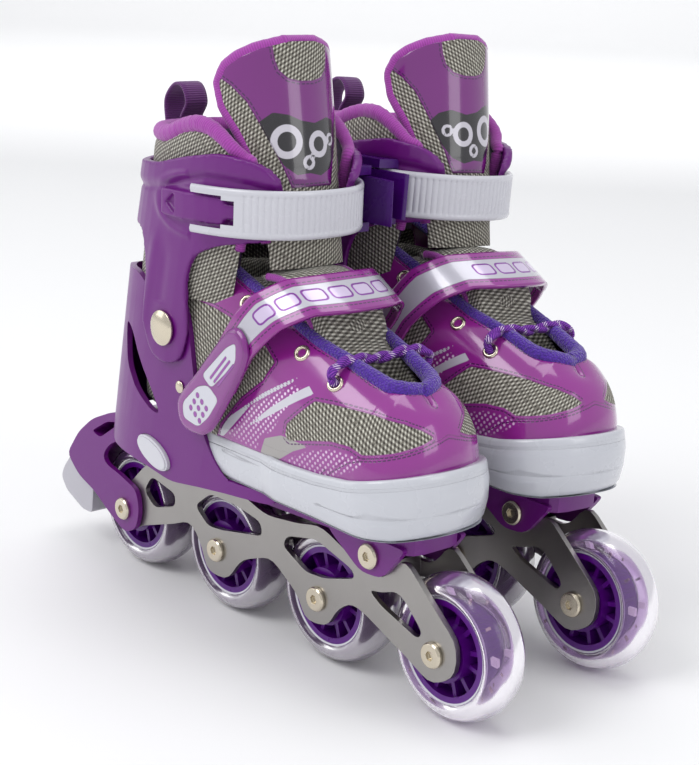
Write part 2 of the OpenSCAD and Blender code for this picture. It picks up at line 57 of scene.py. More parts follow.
def world(side, pts):
    """Local millimetres of one skate to metres in the row frame."""
    p = np.array(pts, float).reshape(-1, 3)
    if side == "right":
        q = p + [SHIFT_X, SHIFT_Y - GAP / 2, 0]
    else:
        c, s = math.cos(LEAN), math.sin(LEAN)
        y, z = -p[:, 1], p[:, 2]
        q = np.c_[p[:, 0] + SHIFT_X, y * c + z * s + SHIFT_Y + GAP / 2, -y * s + z * c + LIFT]
    return q / 1000


# ------------------------------------------------------------ material kit

def local(side, P):
    """Row metres back to one skate's own millimetres."""
    q = np.array(P) * 1000 - [SHIFT_X, SHIFT_Y, 0]
    if side == "right":
        return q + [0, GAP / 2, 0]
    c, s = math.cos(LEAN), math.sin(LEAN)
    y, z = q[:, 1] - GAP / 2, q[:, 2] - LIFT
    return np.c_[q[:, 0], -(y * c - z * s), y * s + z * c]


def lin(r, g, b, a=1.0):
    return tuple((v / 255) ** 2.2 for v in (r, g, b)) + (a,)


class Mat:
    """A node material, built with short calls."""

    def __init__(self, name, **bsdf):
        self.m = bpy.data.materials.new(name)
        self.m.use_nodes = True
        self.t = self.m.node_tree
        self.t.nodes.clear()
        self.out = self.t.nodes.new("ShaderNodeOutputMaterial")
        self.b = self.n("ShaderNodeBsdfPrincipled", **bsdf)
        self.link(self.b.outputs[0], self.out.inputs["Surface"])

    def link(self, a, b):
        self.t.links.new(a, b)

    def n(self, kind, props=None, **inputs):
        node = self.t.nodes.new(kind)
        for k, v in (props or {}).items():
            setattr(node, k, v)
        for k, v in inputs.items():
            key = int(k[1:]) if k[0] == "i" and k[1:].isdigit() else k.replace("_", " ")
            sock = node.inputs[key]
            if isinstance(v, bpy.types.NodeSocket):
                self.link(v, sock)
            else:
                sock.default_value = v
        return node

    def put(self, name, value):
        sock = self.b.inputs[name]
        if isinstance(value, bpy.types.NodeSocket):
            self.link(value, sock)
        else:
            sock.default_value = value

    def math(self, op, a, b=0.0, c=0.0):
        return self.n("ShaderNodeMath", {"operation": op}, i0=a, i1=b, i2=c).outputs[0]

    def attr(self, name):
        return self.n("ShaderNodeAttribute", {"attribute_name": name}).outputs["Fac"]

    def obj(self):
        return self.n("ShaderNodeTexCoord").outputs["Object"]

    def uv(self):
        return self.n("ShaderNodeTexCoord").outputs["UV"]

    def scaled(self, vec, x, y, z=1.0, turn=0.0):
        return self.n("ShaderNodeMapping", Vector=vec, Scale=(x, y, z),
                      Rotation=(0, 0, turn)).outputs[0]

    def noise(self, vec, scale, detail=2.0, rough=0.5):
        return self.n("ShaderNodeTexNoise", Vector=vec, Scale=scale, Detail=detail,
                      Roughness=rough).outputs[0]

    def step(self, x, edge, soft):
        """0 below edge, 1 above it."""
        return self.n("ShaderNodeMapRange", {"interpolation_type": "SMOOTHSTEP"},
                      i0=x, i1=edge - soft, i2=edge + soft, i3=0.0, i4=1.0).outputs[0]

    def mix(self, f, a, b):
        node = self.n("ShaderNodeMix", {"data_type": "RGBA"}, i0=f)
        for sock, v in ((node.inputs[6], a), (node.inputs[7], b)):
            if isinstance(v, bpy.types.NodeSocket):
                self.link(v, sock)
            else:
                sock.default_value = v
        return node.outputs[2]

    def mixf(self, f, a, b):
        return self.n("ShaderNodeMix", {"data_type": "FLOAT"}, i0=f, i2=a, i3=b).outputs[0]

    def bump(self, height, strength=0.5, dist=0.0005, normal=None):
        node = self.n("ShaderNodeBump", Height=height, Strength=strength, Distance=dist)
        if normal is not None:
            self.link(normal, node.inputs["Normal"])
        return node.outputs[0]


def moulded(name, rgb, rough=0.33, grain=1.0):
    """Injection-moulded plastic: a fine grain, faint flow marks and light wear."""
    k = Mat(name, Roughness=rough)
    co = k.obj()
    flow = k.noise(co, 9.0, 3.0)
    dark = tuple(v * 0.86 for v in lin(*rgb)[:3]) + (1,)
    light = tuple(min(1, v * 1.1) for v in lin(*rgb)[:3]) + (1,)
    k.put("Base Color", k.mix(flow, dark, light))
    fine = k.noise(co, 900.0, 2.0)
    k.put("Roughness", k.mixf(k.noise(co, 60.0, 4.0), rough - 0.06, rough + 0.09))
    k.put("Normal", k.bump(fine, 0.12 * grain, 0.0003))
    k.put("Coat Weight", 0.15)
    k.put("Coat Roughness", 0.2)
    k.put("Specular IOR Level", 0.4)
    return k.m


def woven(k, uv, pitch=2.1):
    """Colour and height of a knitted mesh with pale flecks, partly the yarn's own and partly painted highlight on the
    knit's raised tops, and dark holes of painted shade; uv is in metres.
    """
    p = 1000 / pitch
    u = k.scaled(uv, p, p, 1, math.radians(38))
    sep = k.n("ShaderNodeSeparateXYZ", Vector=u)
    sx = k.math("SINE", k.math("MULTIPLY", sep.outputs[0], 2 * math.pi))
    sy = k.math("SINE", k.math("MULTIPLY", sep.outputs[1], math.pi))
    cell = k.math("MULTIPLY", sx, sy)
    # The flecks sit on the tops of the knit's bumps: partly the yarn's own flecks, partly painted highlight.
    fleck = k.step(cell, 0.42, 0.22)
    # Painted shade in the knit's holes.
    hole_shade = k.step(k.math("MULTIPLY", cell, -1.0), 0.45, 0.25)
    jitter = k.noise(uv, 420.0, 3.0)
    fleck = k.math("MULTIPLY", fleck, k.step(jitter, 0.40, 0.12))
    base = k.mix(jitter, lin(98, 94, 86), lin(140, 136, 126))
    # Dark painted shade in the holes, then the pale flecks, part yarn and part painted highlight.
    col = k.mix(hole_shade, base, lin(58, 55, 50))
    col = k.mix(fleck, col, lin(206, 204, 192))
    height = k.math("ADD", k.math("MULTIPLY", cell, 0.5), k.math("MULTIPLY", jitter, 0.3))
    return col, height


def dashes(k, sd, al, at, pitch=2.6, half=0.34):
    """Mask of a stitch line that runs at distance `at` inside an outline."""
    off = k.math("ABSOLUTE", k.math("SUBTRACT", sd, at))
    line = k.math("SUBTRACT", 1.0, k.step(off, half, 0.16))
    part = k.math("PINGPONG", k.math("DIVIDE", al, pitch), 0.5)
    return k.math("MULTIPLY", line, k.step(part, 0.14, 0.05))


M = {}
M["plastic"] = moulded("purple_moulded", (104, 22, 118))
M["violet"] = moulded("violet_moulded", (84, 16, 120), 0.28)
M["buckle"] = moulded("buckle_violet", (70, 18, 108), 0.26)
M["white"] = moulded("white_moulded", (204, 204, 211), 0.3, 0.6)
M["pad"] = moulded("pale_rubber", (184, 182, 190), 0.5, 2.0)


def metal(name, rgb, rough, brushed=0.0):
    k = Mat(name, Metallic=1.0, Roughness=rough)
    co = k.obj()
    k.put("Base Color", k.mix(k.noise(co, 40.0, 4.0), lin(*[v * 0.93 for v in rgb]), lin(*rgb)))
    k.put("Roughness", k.mixf(k.noise(co, 130.0, 5.0), rough - 0.05, rough + 0.08))
    if brushed:
        streak = k.noise(k.scaled(co, 30.0, 900.0, 900.0), 1.0, 4.0)
        k.put("Normal", k.bump(streak, brushed, 0.0002))
    else:
        k.put("Normal", k.bump(k.noise(co, 700.0, 2.0), 0.05, 0.0002))
    return k.m


M["frame"] = metal("satin_aluminium", (164, 161, 158), 0.32, 0.10)
M["nickel"] = metal("nickel", (214, 204, 184), 0.2)
M["chrome"] = metal("chrome", (200, 200, 202), 0.08)
M["dark"] = metal("bearing_shield", (44, 43, 48), 0.34)


def terry():
    k = Mat("violet_terry", Roughness=0.95)
    co = k.obj()
    loops = k.n("ShaderNodeTexVoronoi", Vector=co, Scale=900.0)
    wide = k.noise(co, 120.0, 3.0)
    col = k.mix(loops.outputs[0], lin(84, 40, 168), lin(36, 14, 92))
    k.put("Base Color", k.mix(k.math("MULTIPLY", wide, 0.5), col, lin(104, 56, 182)))
    k.put("Normal", k.bump(loops.outputs[0], 0.9, 0.0009))
    k.put("Sheen Weight", 0.35)
    return k.m


def suede(name, rgb, hatch=0.5):
    """Fine ribbed binding cloth."""
    k = Mat(name, Roughness=0.82)
    uv = k.uv()
    rib = k.n("ShaderNodeTexWave", Vector=k.scaled(uv, 1000, 1000), Scale=0.28, Distortion=1.2,
              Detail=2.0, i4=1.5)
    grain = k.noise(k.obj(), 800.0, 3.0)
    dark = tuple(v * 0.62 for v in lin(*rgb)[:3]) + (1,)
    light = tuple(min(1, v * 1.25) for v in lin(*rgb)[:3]) + (1,)
    f = k.math("ADD", k.math("MULTIPLY", rib.outputs[0 if len(rib.outputs) < 2 else 1], hatch),
               k.math("MULTIPLY", grain, 1 - hatch))
    k.put("Base Color", k.mix(f, dark, light))
    k.put("Normal", k.bump(f, 0.5, 0.0005))
    k.put("Sheen Weight", 0.3)
    return k.m


M["terry"] = terry()
M["binding"] = suede("purple_binding", (158, 62, 160))
M["webbing"] = suede("dark_webbing", (96, 40, 108), 0.8)
M["lining"] = suede("dark_lining", (52, 30, 64))


def lace_mat():
    k = Mat("braided_lace", Roughness=0.75)
    uv = k.uv()
    a = k.n("ShaderNodeTexWave", {"bands_direction": "DIAGONAL"},
            Vector=k.scaled(uv, 1000, 1000), Scale=0.42, Distortion=0.6)
    sep = k.n("ShaderNodeSeparateXYZ", Vector=uv)
    fleck = k.step(k.math("PINGPONG", k.math("MULTIPLY", sep.outputs[0], 1000 / 9.0), 0.5), 0.38, 0.04)
    fleck = k.math("MULTIPLY", fleck, k.step(a.outputs[1], 0.55, 0.1))
    col = k.mix(a.outputs[1], lin(74, 26, 140), lin(150, 66, 188))
    k.put("Base Color", k.mix(fleck, col, lin(232, 208, 240)))
    k.put("Normal", k.bump(a.outputs[1], 0.8, 0.0008))
    return k.m


M["lace"] = lace_mat()


def mesh_mat(name="grey_mesh", pitch=2.1):
    k = Mat(name, Roughness=0.85)
    col, h = woven(k, k.uv(), pitch)
    k.put("Base Color", col)
    k.put("Normal", k.bump(h, 0.7, 0.0008))
    k.put("Sheen Weight", 0.15)
    return k.m


M["mesh"] = mesh_mat()


def tyre_mat(name, tint, cloud):
    """Cast clear urethane, with a little colour and faint streaks."""
    k = Mat(name, Roughness=0.1, IOR=1.42)
    co = k.obj()
    f = k.noise(k.scaled(co, 30, 90, 30), 1.0, 4.0)
    pale = [v + (250 - v) * 0.35 for v in tint]
    k.put("Base Color", k.mix(f, lin(*tint), lin(*pale)))
    k.put("Transmission Weight", cloud)
    k.put("Roughness", k.mixf(k.noise(co, 50.0, 3.0), 0.05, 0.2))
    k.put("Normal", k.bump(k.noise(co, 25.0, 3.0), 0.15, 0.001))
    return k.m


M["tyre_front"] = tyre_mat("clear_urethane", (176, 140, 196), 0.85)
# Rear tyres: the same clear urethane as the front, with painted shade. A dark tint and less clearness stand in for the
# shadow they sit in.
M["tyre_rear_shaded"] = tyre_mat("shaded_urethane", (46, 12, 62), 0.5)


def led_mat():
    k = Mat("led_block_painted_glow", Roughness=0.3)
    f = k.noise(k.obj(), 400.0, 2.0)
    k.put("Base Color", k.mix(f, lin(238, 234, 228), lin(210, 200, 206)))
    # Painted glow: the unlit light blocks give off a faint white light so they read brighter.
    k.put("Emission Color", (1, 1, 1, 1))
    k.put("Emission Strength", 0.12)
    return k.m


M["led"] = led_mat()

# ------------------------------------------------------------- mesh kit

PARTS = {}


def make(name, side, verts, faces, mat, body, slot=None, uv=None, attrs=None, stands=(),
         smooth=True, mats=None, face_mats=None):
    """A mesh object from local millimetres."""
    me = bpy.data.meshes.new(f"{side}_{name}_look")
    flip = side == "left"
    faces = [tuple(reversed(f)) if flip else tuple(f) for f in faces]
    me.from_pydata([tuple(v) for v in world(side, verts)], [], faces)
    for m in (mats or [mat]):
        me.materials.append(M[m] if isinstance(m, str) else m)
    if face_mats is not None:
        me.polygons.foreach_set("material_index", np.array(face_mats, np.int32))
    if smooth:
        me.polygons.foreach_set("use_smooth", np.ones(len(me.polygons), bool))
    if uv is not None:
        lay = me.uv_layers.new(name="UVMap")
        idx = np.zeros(len(me.loops), np.int32)
        me.loops.foreach_get("vertex_index", idx)
        lay.data.foreach_set("uv", (np.array(uv, float).reshape(-1, 2)[idx] / 1000).ravel())
    for k, v in (attrs or {}).items():
        a = me.attributes.new(k, "FLOAT", "POINT")
        a.data.foreach_set("value", np.array(v, np.float32).ravel())
    me.update()
    ob = bpy.data.objects.new(me.name, me)
    bpy.context.scene.collection.objects.link(ob)
    if stands:
        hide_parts(*[f"{side}_{n}" for n in stands])
    PARTS[ob.name] = (ob, f"{side}_{body}")
    return ob


def modifier(ob, kind, **props):
    m = ob.modifiers.new(kind.lower(), kind)
    for k, v in props.items():
        setattr(m, k, v)
    return m


def apply_all(ob):
    dg = bpy.context.evaluated_depsgraph_get()
    me = bpy.data.meshes.new_from_object(ob.evaluated_get(dg))
    ob.modifiers.clear()
    old = ob.data
    ob.data = me
    bpy.data.meshes.remove(old)
    return ob


def grid_faces(n, m, wrap_u=False, wrap_v=False):
    f = []
    for i in range(n if wrap_u else n - 1):
        for j in range(m if wrap_v else m - 1):
            a, b = i * m + j, i * m + (j + 1) % m
            c, d = ((i + 1) % n) * m + (j + 1) % m, ((i + 1) % n) * m + j
            f.append((a, b, c, d))
    return f


def smooth_path(pts, n, closed=False):
    """n points along a Catmull-Rom curve through pts, evenly spaced."""
    p = np.array(pts, float)
    k = len(p)
    out = []
    for i in range(k if closed else k - 1):
        if closed:
            q = [p[(i + d) % k] for d in (-1, 0, 1, 2)]
        else:
            q = [p[max(i - 1, 0)], p[i], p[i + 1], p[min(i + 2, k - 1)]]
        for t in np.linspace(0, 1, 12, endpoint=False):
            out.append(0.5 * (2 * q[1] + (q[2] - q[0]) * t
                              + (2 * q[0] - 5 * q[1] + 4 * q[2] - q[3]) * t * t
                              + (3 * q[1] - q[0] - 3 * q[2] + q[3]) * t ** 3))
    out.append(p[0] if closed else p[-1])
    out = np.array(out)
    s = np.r_[0, np.cumsum(np.linalg.norm(np.diff(out, axis=0), axis=1))]
    t = np.linspace(0, s[-1], n)
    return np.c_[tuple(np.interp(t, s, out[:, i]) for i in range(out.shape[1]))]


def rounded(pts, d, n=4):
    """An outline with its corners rounded."""
    p = np.array(pts, float)
    k = len(p)
    out = []
    for i in range(k):
        a, b, c = p[i - 1], p[i], p[(i + 1) % k]
        u, w = a - b, c - b
        du, dw = np.linalg.norm(u), np.linalg.norm(w)
        s, e = b + u / du * min(d, du * 0.45), b + w / dw * min(d, dw * 0.45)
        for t in np.linspace(0, 1, n + 1):
            out.append((1 - t) ** 2 * s + 2 * t * (1 - t) * b + t * t * e)
    return np.array(out)


def tube(name, side, path, radius, mat, body, slot, sides=12, closed=False, flat=1.0,
         up=(0, 0, 1), pucker=0.0, **kw):
    """A round or flattened tube along a path; radius may vary along it."""
    p = np.array(path, float)
    n = len(p)
    if closed:
        tan = np.roll(p, -1, 0) - np.roll(p, 1, 0)
    else:
        tan = np.gradient(p, axis=0)
    tan /= np.linalg.norm(tan, axis=1)[:, None] + 1e-9
    ref = np.array(up, float)
    u = np.cross(tan, ref)
    u /= np.linalg.norm(u, axis=1)[:, None] + 1e-9
    v = np.cross(u, tan)
    r = np.broadcast_to(np.array(radius, float), (n,)).copy()
    s = np.r_[0, np.cumsum(np.linalg.norm(np.diff(p, axis=0), axis=1))]
    a = np.linspace(0, 2 * math.pi, sides, endpoint=False)
    if pucker:
        r = r * (1 + pucker * np.sin(s * 1.9) * np.sin(s * 0.63 + 1))
    V = (p[:, None] + r[:, None, None] * (np.cos(a)[None, :, None] * u[:, None] * flat
                                          + np.sin(a)[None, :, None] * v[:, None]))
    uv = np.stack(np.broadcast_arrays(s[:, None], (a * np.mean(r))[None]), -1)
    faces = grid_faces(n, sides, closed, True)
    verts = V.reshape(-1, 3)
    if not closed:
        faces.append(tuple(range(sides)))
        faces.append(tuple((n - 1) * sides + sides - 1 - i for i in range(sides)))
    return make(name, side, verts, faces, mat, body, slot, uv=uv, **kw)


def outline_sd(pts, poly):
    """Signed distance to a closed outline, positive inside, and the length along it."""
    p = np.array(pts, float).reshape(-1, 2)
    q = np.array(poly, float)
    best = np.full(len(p), 1e9)
    along = np.zeros(len(p))
    inside = np.zeros(len(p), bool)
    run = 0.0
    for i in range(len(q)):
        a, b = q[i], q[(i + 1) % len(q)]
        d = b - a
        L = np.hypot(*d)
        t = np.clip(((p - a) @ d) / (L * L + 1e-9), 0, 1)
        dist = np.hypot(*(p - a - t[:, None] * d).T)
        near = dist < best
        best = np.where(near, dist, best)
        along = np.where(near, run + t * L, along)
        run += L
        cross = ((a[1] > p[:, 1]) != (b[1] > p[:, 1]))
        with np.errstate(divide="ignore", invalid="ignore"):
            x = (b[0] - a[0]) * (p[:, 1] - a[1]) / (b[1] - a[1] + 1e-12) + a[0]
        inside ^= cross & (p[:, 0] < x)
    return np.where(inside, best, -best), along


def line_sd(pts, line):
    """Distance to an open line, and the length along it."""
    p = np.array(pts, float).reshape(-1, 2)
    q = np.array(line, float)
    best = np.full(len(p), 1e9)
    along = np.zeros(len(p))
    run = 0.0
    for a, b in zip(q[:-1], q[1:]):
        d = b - a
        L = np.hypot(*d)
        t = np.clip(((p - a) @ d) / (L * L + 1e-9), 0, 1)
        dist = np.hypot(*(p - a - t[:, None] * d).T)
        near = dist < best
        best = np.where(near, dist, best)
        along = np.where(near, run + t * L, along)
        run += L
    return best, along


def crisp(side, node, mat, body, width=0.5, segments=2, angle=32, shade=True):
    """A copy of a CAD piece with small rounded edges."""
    src = frame["nodes"][f"{side}_{node}"]
    me = src.data.copy()
    me.name = f"{side}_{node}_look"
    bm = bmesh.new()
    bm.from_mesh(me)
    bmesh.ops.remove_doubles(bm, verts=bm.verts, dist=1e-6)
    bmesh.ops.dissolve_limit(bm, angle_limit=math.radians(2), verts=bm.verts, edges=bm.edges)
    for f in bm.faces:
        f.smooth = True
    sharp = math.radians(angle)
    for e in bm.edges:
        e.smooth = not (len(e.link_faces) == 2 and e.calc_face_angle(0) > sharp)
    bm.to_mesh(me)
    bm.free()
    me.materials.clear()
    me.materials.append(M[mat])
    ob = bpy.data.objects.new(me.name, me)
    bpy.context.scene.collection.objects.link(ob)
    if width:
        modifier(ob, "BEVEL", width=width / 1000, segments=segments, limit_method="ANGLE",
                 angle_limit=sharp, harden_normals=True, use_clamp_overlap=True)
    apply_all(ob)
    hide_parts(f"{side}_{node}")
    PARTS[ob.name] = (ob, f"{side}_{body}")
    return ob


def lathe(name, side, at, axis_y, profile, mat, body, slot, n=48, **kw):
    """A turned piece about an axis along Y; profile is (radius, y) pairs."""
    pr = np.array(profile, float)
    a = np.linspace(0, 2 * math.pi, n, endpoint=False)
    V = np.zeros((n, len(pr), 3))
    V[..., 0] = at[0] + pr[None, :, 0] * np.cos(a)[:, None]
    V[..., 2] = at[1] + pr[None, :, 0] * np.sin(a)[:, None]
    V[..., 1] = axis_y * pr[None, :, 1]
    f = grid_faces(n, len(pr), True, False)
    if axis_y > 0:
        f = [tuple(reversed(q)) for q in f]
    uv = np.stack(np.broadcast_arrays((a * 10)[:, None], pr[None, :, 1]), -1)
    return make(name, side, V.reshape(-1, 3), f, mat, body, slot, uv=uv, **kw)

# ---------------------------------------------------- surface of the upper

TAN = math.tan(math.radians(21))


def crown(x):
    return 184.5 - x * TAN


def throat(x):
    y = np.interp(x, [-70, 40, 70], [24, 22, 17.5])
    f = min(max((x - 70) / 20, 0), 1)
    return 17.5 * math.sqrt(1 - f * f) if x > 70 else float(y)


def plan(n_toe=44, n_side=70, grow=0.0, tip=27.5, b=36.2, x0=83.0, back=-62.0, ex=1.0, ey=0.92):
    """Half outline from the toe's tip back along one side, with its length."""
    a = np.radians(np.linspace(0, 90, n_toe))
    px = x0 + (tip + grow) * np.cos(a) ** ex
    py = (b + grow) * np.sin(a) ** ey
    xs = np.linspace(x0, back, n_side)[1:]
    px, py = np.r_[px, xs], np.r_[py, np.full(len(xs), b + grow)]
    s = np.r_[0, np.cumsum(np.hypot(np.diff(px), np.diff(py)))]
    return px, py, s


def drawn_length(px, py):
    """The panels are drawn on a boxier toe; matches its rim seen from the outer front."""
    qx, qy, s = plan(tip=48.0, ex=0.95, ey=0.8)
    view = (0.67, -0.74)
    u, v = px * view[0] + py * view[1], qx * view[0] + qy * view[1]
    return np.interp(-u, -v, s)


def upper_grid(nv=64):
    """Points of the upper from the sole's rim up to the throat; s < 0 on the inner side."""
    px, py, _ = plan()
    s = drawn_length(px, py)
    s = s - s[0] * np.exp(-np.arange(len(s)) / 3.0)
    cols, dist = [], []
    for x, y in zip(px, py):
        rx = x if x <= 83 else 83 + (x - 83) * 0.45
        top = crown(rx) - 107 - max(0.0, x - 92) * 0.25
        leg, h = max(0.0, top - 44), min(44.0, top)
        q = float(np.interp(rx, [60, 96], [2.5, 2.1]))
        cut = min(throat(rx) / max(y, 1e-3), 0.95) if rx < 90 else 0.0
        a = np.linspace(0, math.acos(min(1.0, cut ** (q / 2))), nv)
        c, g = np.cos(a) ** (2 / q), np.sin(a) ** (2 / q)
        P = np.c_[rx + (x - rx) * c, -y * c, 107 + leg + h * g]
        if leg > 0:
            lz = np.linspace(107, 107 + leg, 8, endpoint=False)
            P = np.r_[np.c_[np.full(8, x), np.full(8, -y), lz], P]
        L = np.r_[0, np.cumsum(np.linalg.norm(np.diff(P, axis=0), axis=1))]
        t = np.linspace(0, L[-1], nv)
        cols.append(np.c_[tuple(np.interp(t, L, P[:, i]) for i in range(3))])
        dist.append(t)
    half, d = np.array(cols), np.array(dist)
    mirror = half[::-1] * [1, -1, 1]
    grid = np.concatenate([mirror[:-1], half])
    return grid, np.concatenate([d[::-1][:-1], d]), np.r_[-s[::-1][:-1], s]


WINDOW = [(116, 13), (115, 19), (98, 34), (87, 35), (65, 36), (45, 33.5), (33, 30), (24, 26),
          (31, 23.5), (45, 20), (57, 18), (64, 17), (72, 19), (84, 18.5), (99, 15), (113, 11.5)]
QUARTER = [(240, -8), (240, 62), (192, 65), (175, 63), (165, 61), (158, 59), (141, 55), (128, 46),
           (134, 36), (150, 24), (166, 7), (171, -8)]
STRIPE_1 = [(168, 0), (160, 11), (134, 29.5), (111, 43), (115, 38.5), (142, 22), (163, 1)]
STRIPE_2 = [(151, 6), (129, 23), (104, 40), (100, 37), (119, 25.5)]
SWOOSH = [(134, 0), (131, 8), (119, 12.5), (99, 12), (110, 7), (122, -1)]
DOTS_1 = [(162, 2), (142, 22), (113, 39), (103, 38), (120, 20), (125, 12), (134, 8), (136, 0)]
DOTS_2 = [(120, 0), (98, 11), (83, 15.5), (68, 16), (60, 13), (72, 6), (88, -1)]
CAP = [(92, -4), (84, 5), (72, 13), (65, 15.5), (54, 17), (39, 20), (22, 24), (10, 25.5),
       (0, 26), (0, -10)]


def upper_mat():
    k = Mat("upper_panels", Roughness=0.2)
    uv, co = k.uv(), k.obj()
    col_mesh, h_mesh = woven(k, uv, 2.3)
    win, quarter = k.attr("window"), k.attr("quarter")
    is_mesh = k.math("MAXIMUM", k.step(win, 0.0, 0.25), k.step(quarter, 0.0, 0.25))
    tone = k.noise(co, 14.0, 3.0)
    patent = k.mix(tone, lin(128, 32, 124), lin(148, 46, 144))
    silver = k.math("MAXIMUM", k.step(k.attr("stripe_1"), 0.0, 0.2),
                    k.step(k.attr("stripe_2"), 0.0, 0.2))
    grey = k.step(k.attr("swoosh"), 0.0, 0.25)
    # White printed dots in staggered rows
    p = k.scaled(uv, 1000 / 2.6, 1000 / 2.6, 1, math.radians(45))
    cell = k.n("ShaderNodeTexVoronoi", Vector=p, Scale=1.0, Randomness=0.0)
    dot = k.math("SUBTRACT", 1.0, k.step(cell.outputs[0], 0.27, 0.08))
    area = k.math("MAXIMUM", k.step(k.attr("dots_1"), 1.0, 0.8), k.step(k.attr("dots_2"), 0.8, 0.8))
    sep = k.n("ShaderNodeSeparateXYZ", Vector=uv)
    fade = k.step(sep.outputs[1], 0.010, 0.020)
    dot = k.math("MULTIPLY", dot, k.math("MULTIPLY", area, k.mixf(fade, 0.35, 0.95)))
    col = k.mix(dot, patent, lin(236, 210, 238))
    col = k.mix(silver, col, lin(198, 196, 206))
    col = k.mix(grey, col, lin(150, 146, 144))
    col = k.mix(is_mesh, col, col_mesh)
    # Dark stitching round the panels
    s1 = dashes(k, win, k.attr("window_al"), -1.7)
    s2 = dashes(k, quarter, k.attr("quarter_al"), -1.7)
    s3 = dashes(k, k.attr("cap"), k.attr("cap_al"), 1.6)
    s4 = dashes(k, k.attr("edge"), k.attr("edge_al"), 2.6)
    st = k.math("MAXIMUM", k.math("MAXIMUM", s1, s2), k.math("MAXIMUM", s3, s4))
    st = k.math("MULTIPLY", st, k.math("SUBTRACT", 1.0, is_mesh))
    col = k.mix(st, col, lin(74, 20, 82))
    k.put("Base Color", col)
    k.put("Roughness", k.mixf(is_mesh, k.mixf(silver, 0.16, 0.3), 0.88))
    k.put("Coat Weight", k.mixf(is_mesh, 0.9, 0.0))
    k.put("Coat Roughness", 0.06)
    # Panels stand above the mesh; the cap overlaps the panel behind it
    lift = k.math("SUBTRACT", 1.0, k.math("MAXIMUM", k.step(win, -0.1, 0.7), k.step(quarter, -0.1, 0.7)))
    lift = k.math("ADD", lift, k.math("MULTIPLY", k.step(k.attr("cap"), 0.0, 0.35), 0.9))
    crease = k.noise(co, 34.0, 3.0)
    n1 = k.bump(lift, 0.9, 0.0011)
    n2 = k.bump(k.math("MULTIPLY", h_mesh, is_mesh), 0.6, 0.0008, n1)
    n3 = k.bump(k.math("ADD", k.math("MULTIPLY", crease, 0.5), k.math("MULTIPLY", st, -0.35)),
                0.35, 0.0014, n2)
    k.put("Normal", n3)
    return k.m


M["upper"] = upper_mat()


def upper(side):
    grid, d, s = upper_grid()
    n, m = grid.shape[:2]
    flat = np.stack([np.abs(np.repeat(s[:, None], m, 1)), d], -1).reshape(-1, 2)
    attrs = {}
    for key, poly in (("window", WINDOW), ("quarter", QUARTER), ("stripe_1", STRIPE_1),
                      ("stripe_2", STRIPE_2), ("swoosh", SWOOSH), ("dots_1", DOTS_1),
                      ("dots_2", DOTS_2), ("cap", CAP)):
        sd, al = outline_sd(flat, poly)
        if key == "cap":
            sd = np.where(flat[:, 1] < np.interp(flat[:, 0], [0, 22, 54, 72, 84], [26, 24, 17, 13, 5]),
                          np.abs(sd), sd)
            sd, al = np.where(flat[:, 0] < 2, np.maximum(sd, 26 - flat[:, 1]), sd), flat[:, 0]
            line, al = line_sd(flat, CAP[:-1])
            sd = np.where(sd > 0, line, -line)
        attrs[key], attrs[key + "_al"] = sd, al
    attrs["edge"] = (d[:, -1:] - d).ravel()
    attrs["edge_al"] = np.repeat(s[:, None], m, 1).ravel() + 400
    uv = np.stack([np.repeat(s[:, None], m, 1), d], -1)
    ob = make("upper", side, grid.reshape(-1, 3), grid_faces(n, m), "upper", "toe", "patent",
              uv=uv, attrs=attrs, stands=("upper",))
    modifier(ob, "SOLIDIFY", thickness=0.0022, offset=-1.0)
    apply_all(ob)
    # Thick terry edging round the throat
    rim = grid[:, -1] + [0, 0, 0.6]
    rim = rim[np.abs(s) > 46]
    k = len(rim) // 2
    width = np.interp(np.abs(np.linspace(-1, 1, 150)), [0, 0.12, 0.3, 1], [4.6, 4.4, 3.4, 3.0])
    path = smooth_path(np.r_[rim[:k:6], [rim[k - 1], rim[k]], rim[k + 1::6], rim[-1:]], 150)
    inward = np.c_[np.zeros(150), -np.sign(path[:, 1]) * 1.8, np.full(150, -0.8)]
    front = np.exp(-((path[:, 0] - 90) / 8) ** 2)
    inward[:, 1] *= 1 - front
    inward[:, 0] -= 3.2 * front
    tube("throat_edging", side, path + inward, width, "terry", "toe", "patent", sides=16,
         flat=0.95, pucker=0.03)
    return grid


# ---------------------------------------------------------------- toe sole

def sole_mat():
    k = Mat("white_sole", Roughness=0.24)
    co = k.obj()
    tone = k.noise(co, 12.0, 3.0)
    col = k.mix(tone, lin(186, 188, 196), lin(200, 202, 208))
    st = dashes(k, k.attr("seam"), k.attr("seam_al"), 0.0, 11.0, 0.42)
    st = k.math("MULTIPLY", st, k.step(k.math("PINGPONG", k.math("DIVIDE", k.attr("seam_al"), 11.0), 0.5), 0.34, 0.02))
    k.put("Base Color", k.mix(st, col, lin(112, 112, 124)))
    k.put("Coat Weight", 0.5)
    k.put("Coat Roughness", 0.1)
    k.put("Roughness", k.mixf(k.noise(co, 60.0, 4.0), 0.2, 0.34))
    groove = k.math("SUBTRACT", 1.0, k.step(k.attr("seam"), 0.55, 0.4))
    wave = k.math("SUBTRACT", 1.0, k.step(k.attr("wave"), 0.5, 0.7))
    k.put("Normal", k.bump(k.math("MULTIPLY", k.math("MAXIMUM", groove, wave), -1.0), 0.9, 0.0011))
    return k.m


M["sole"] = sole_mat()


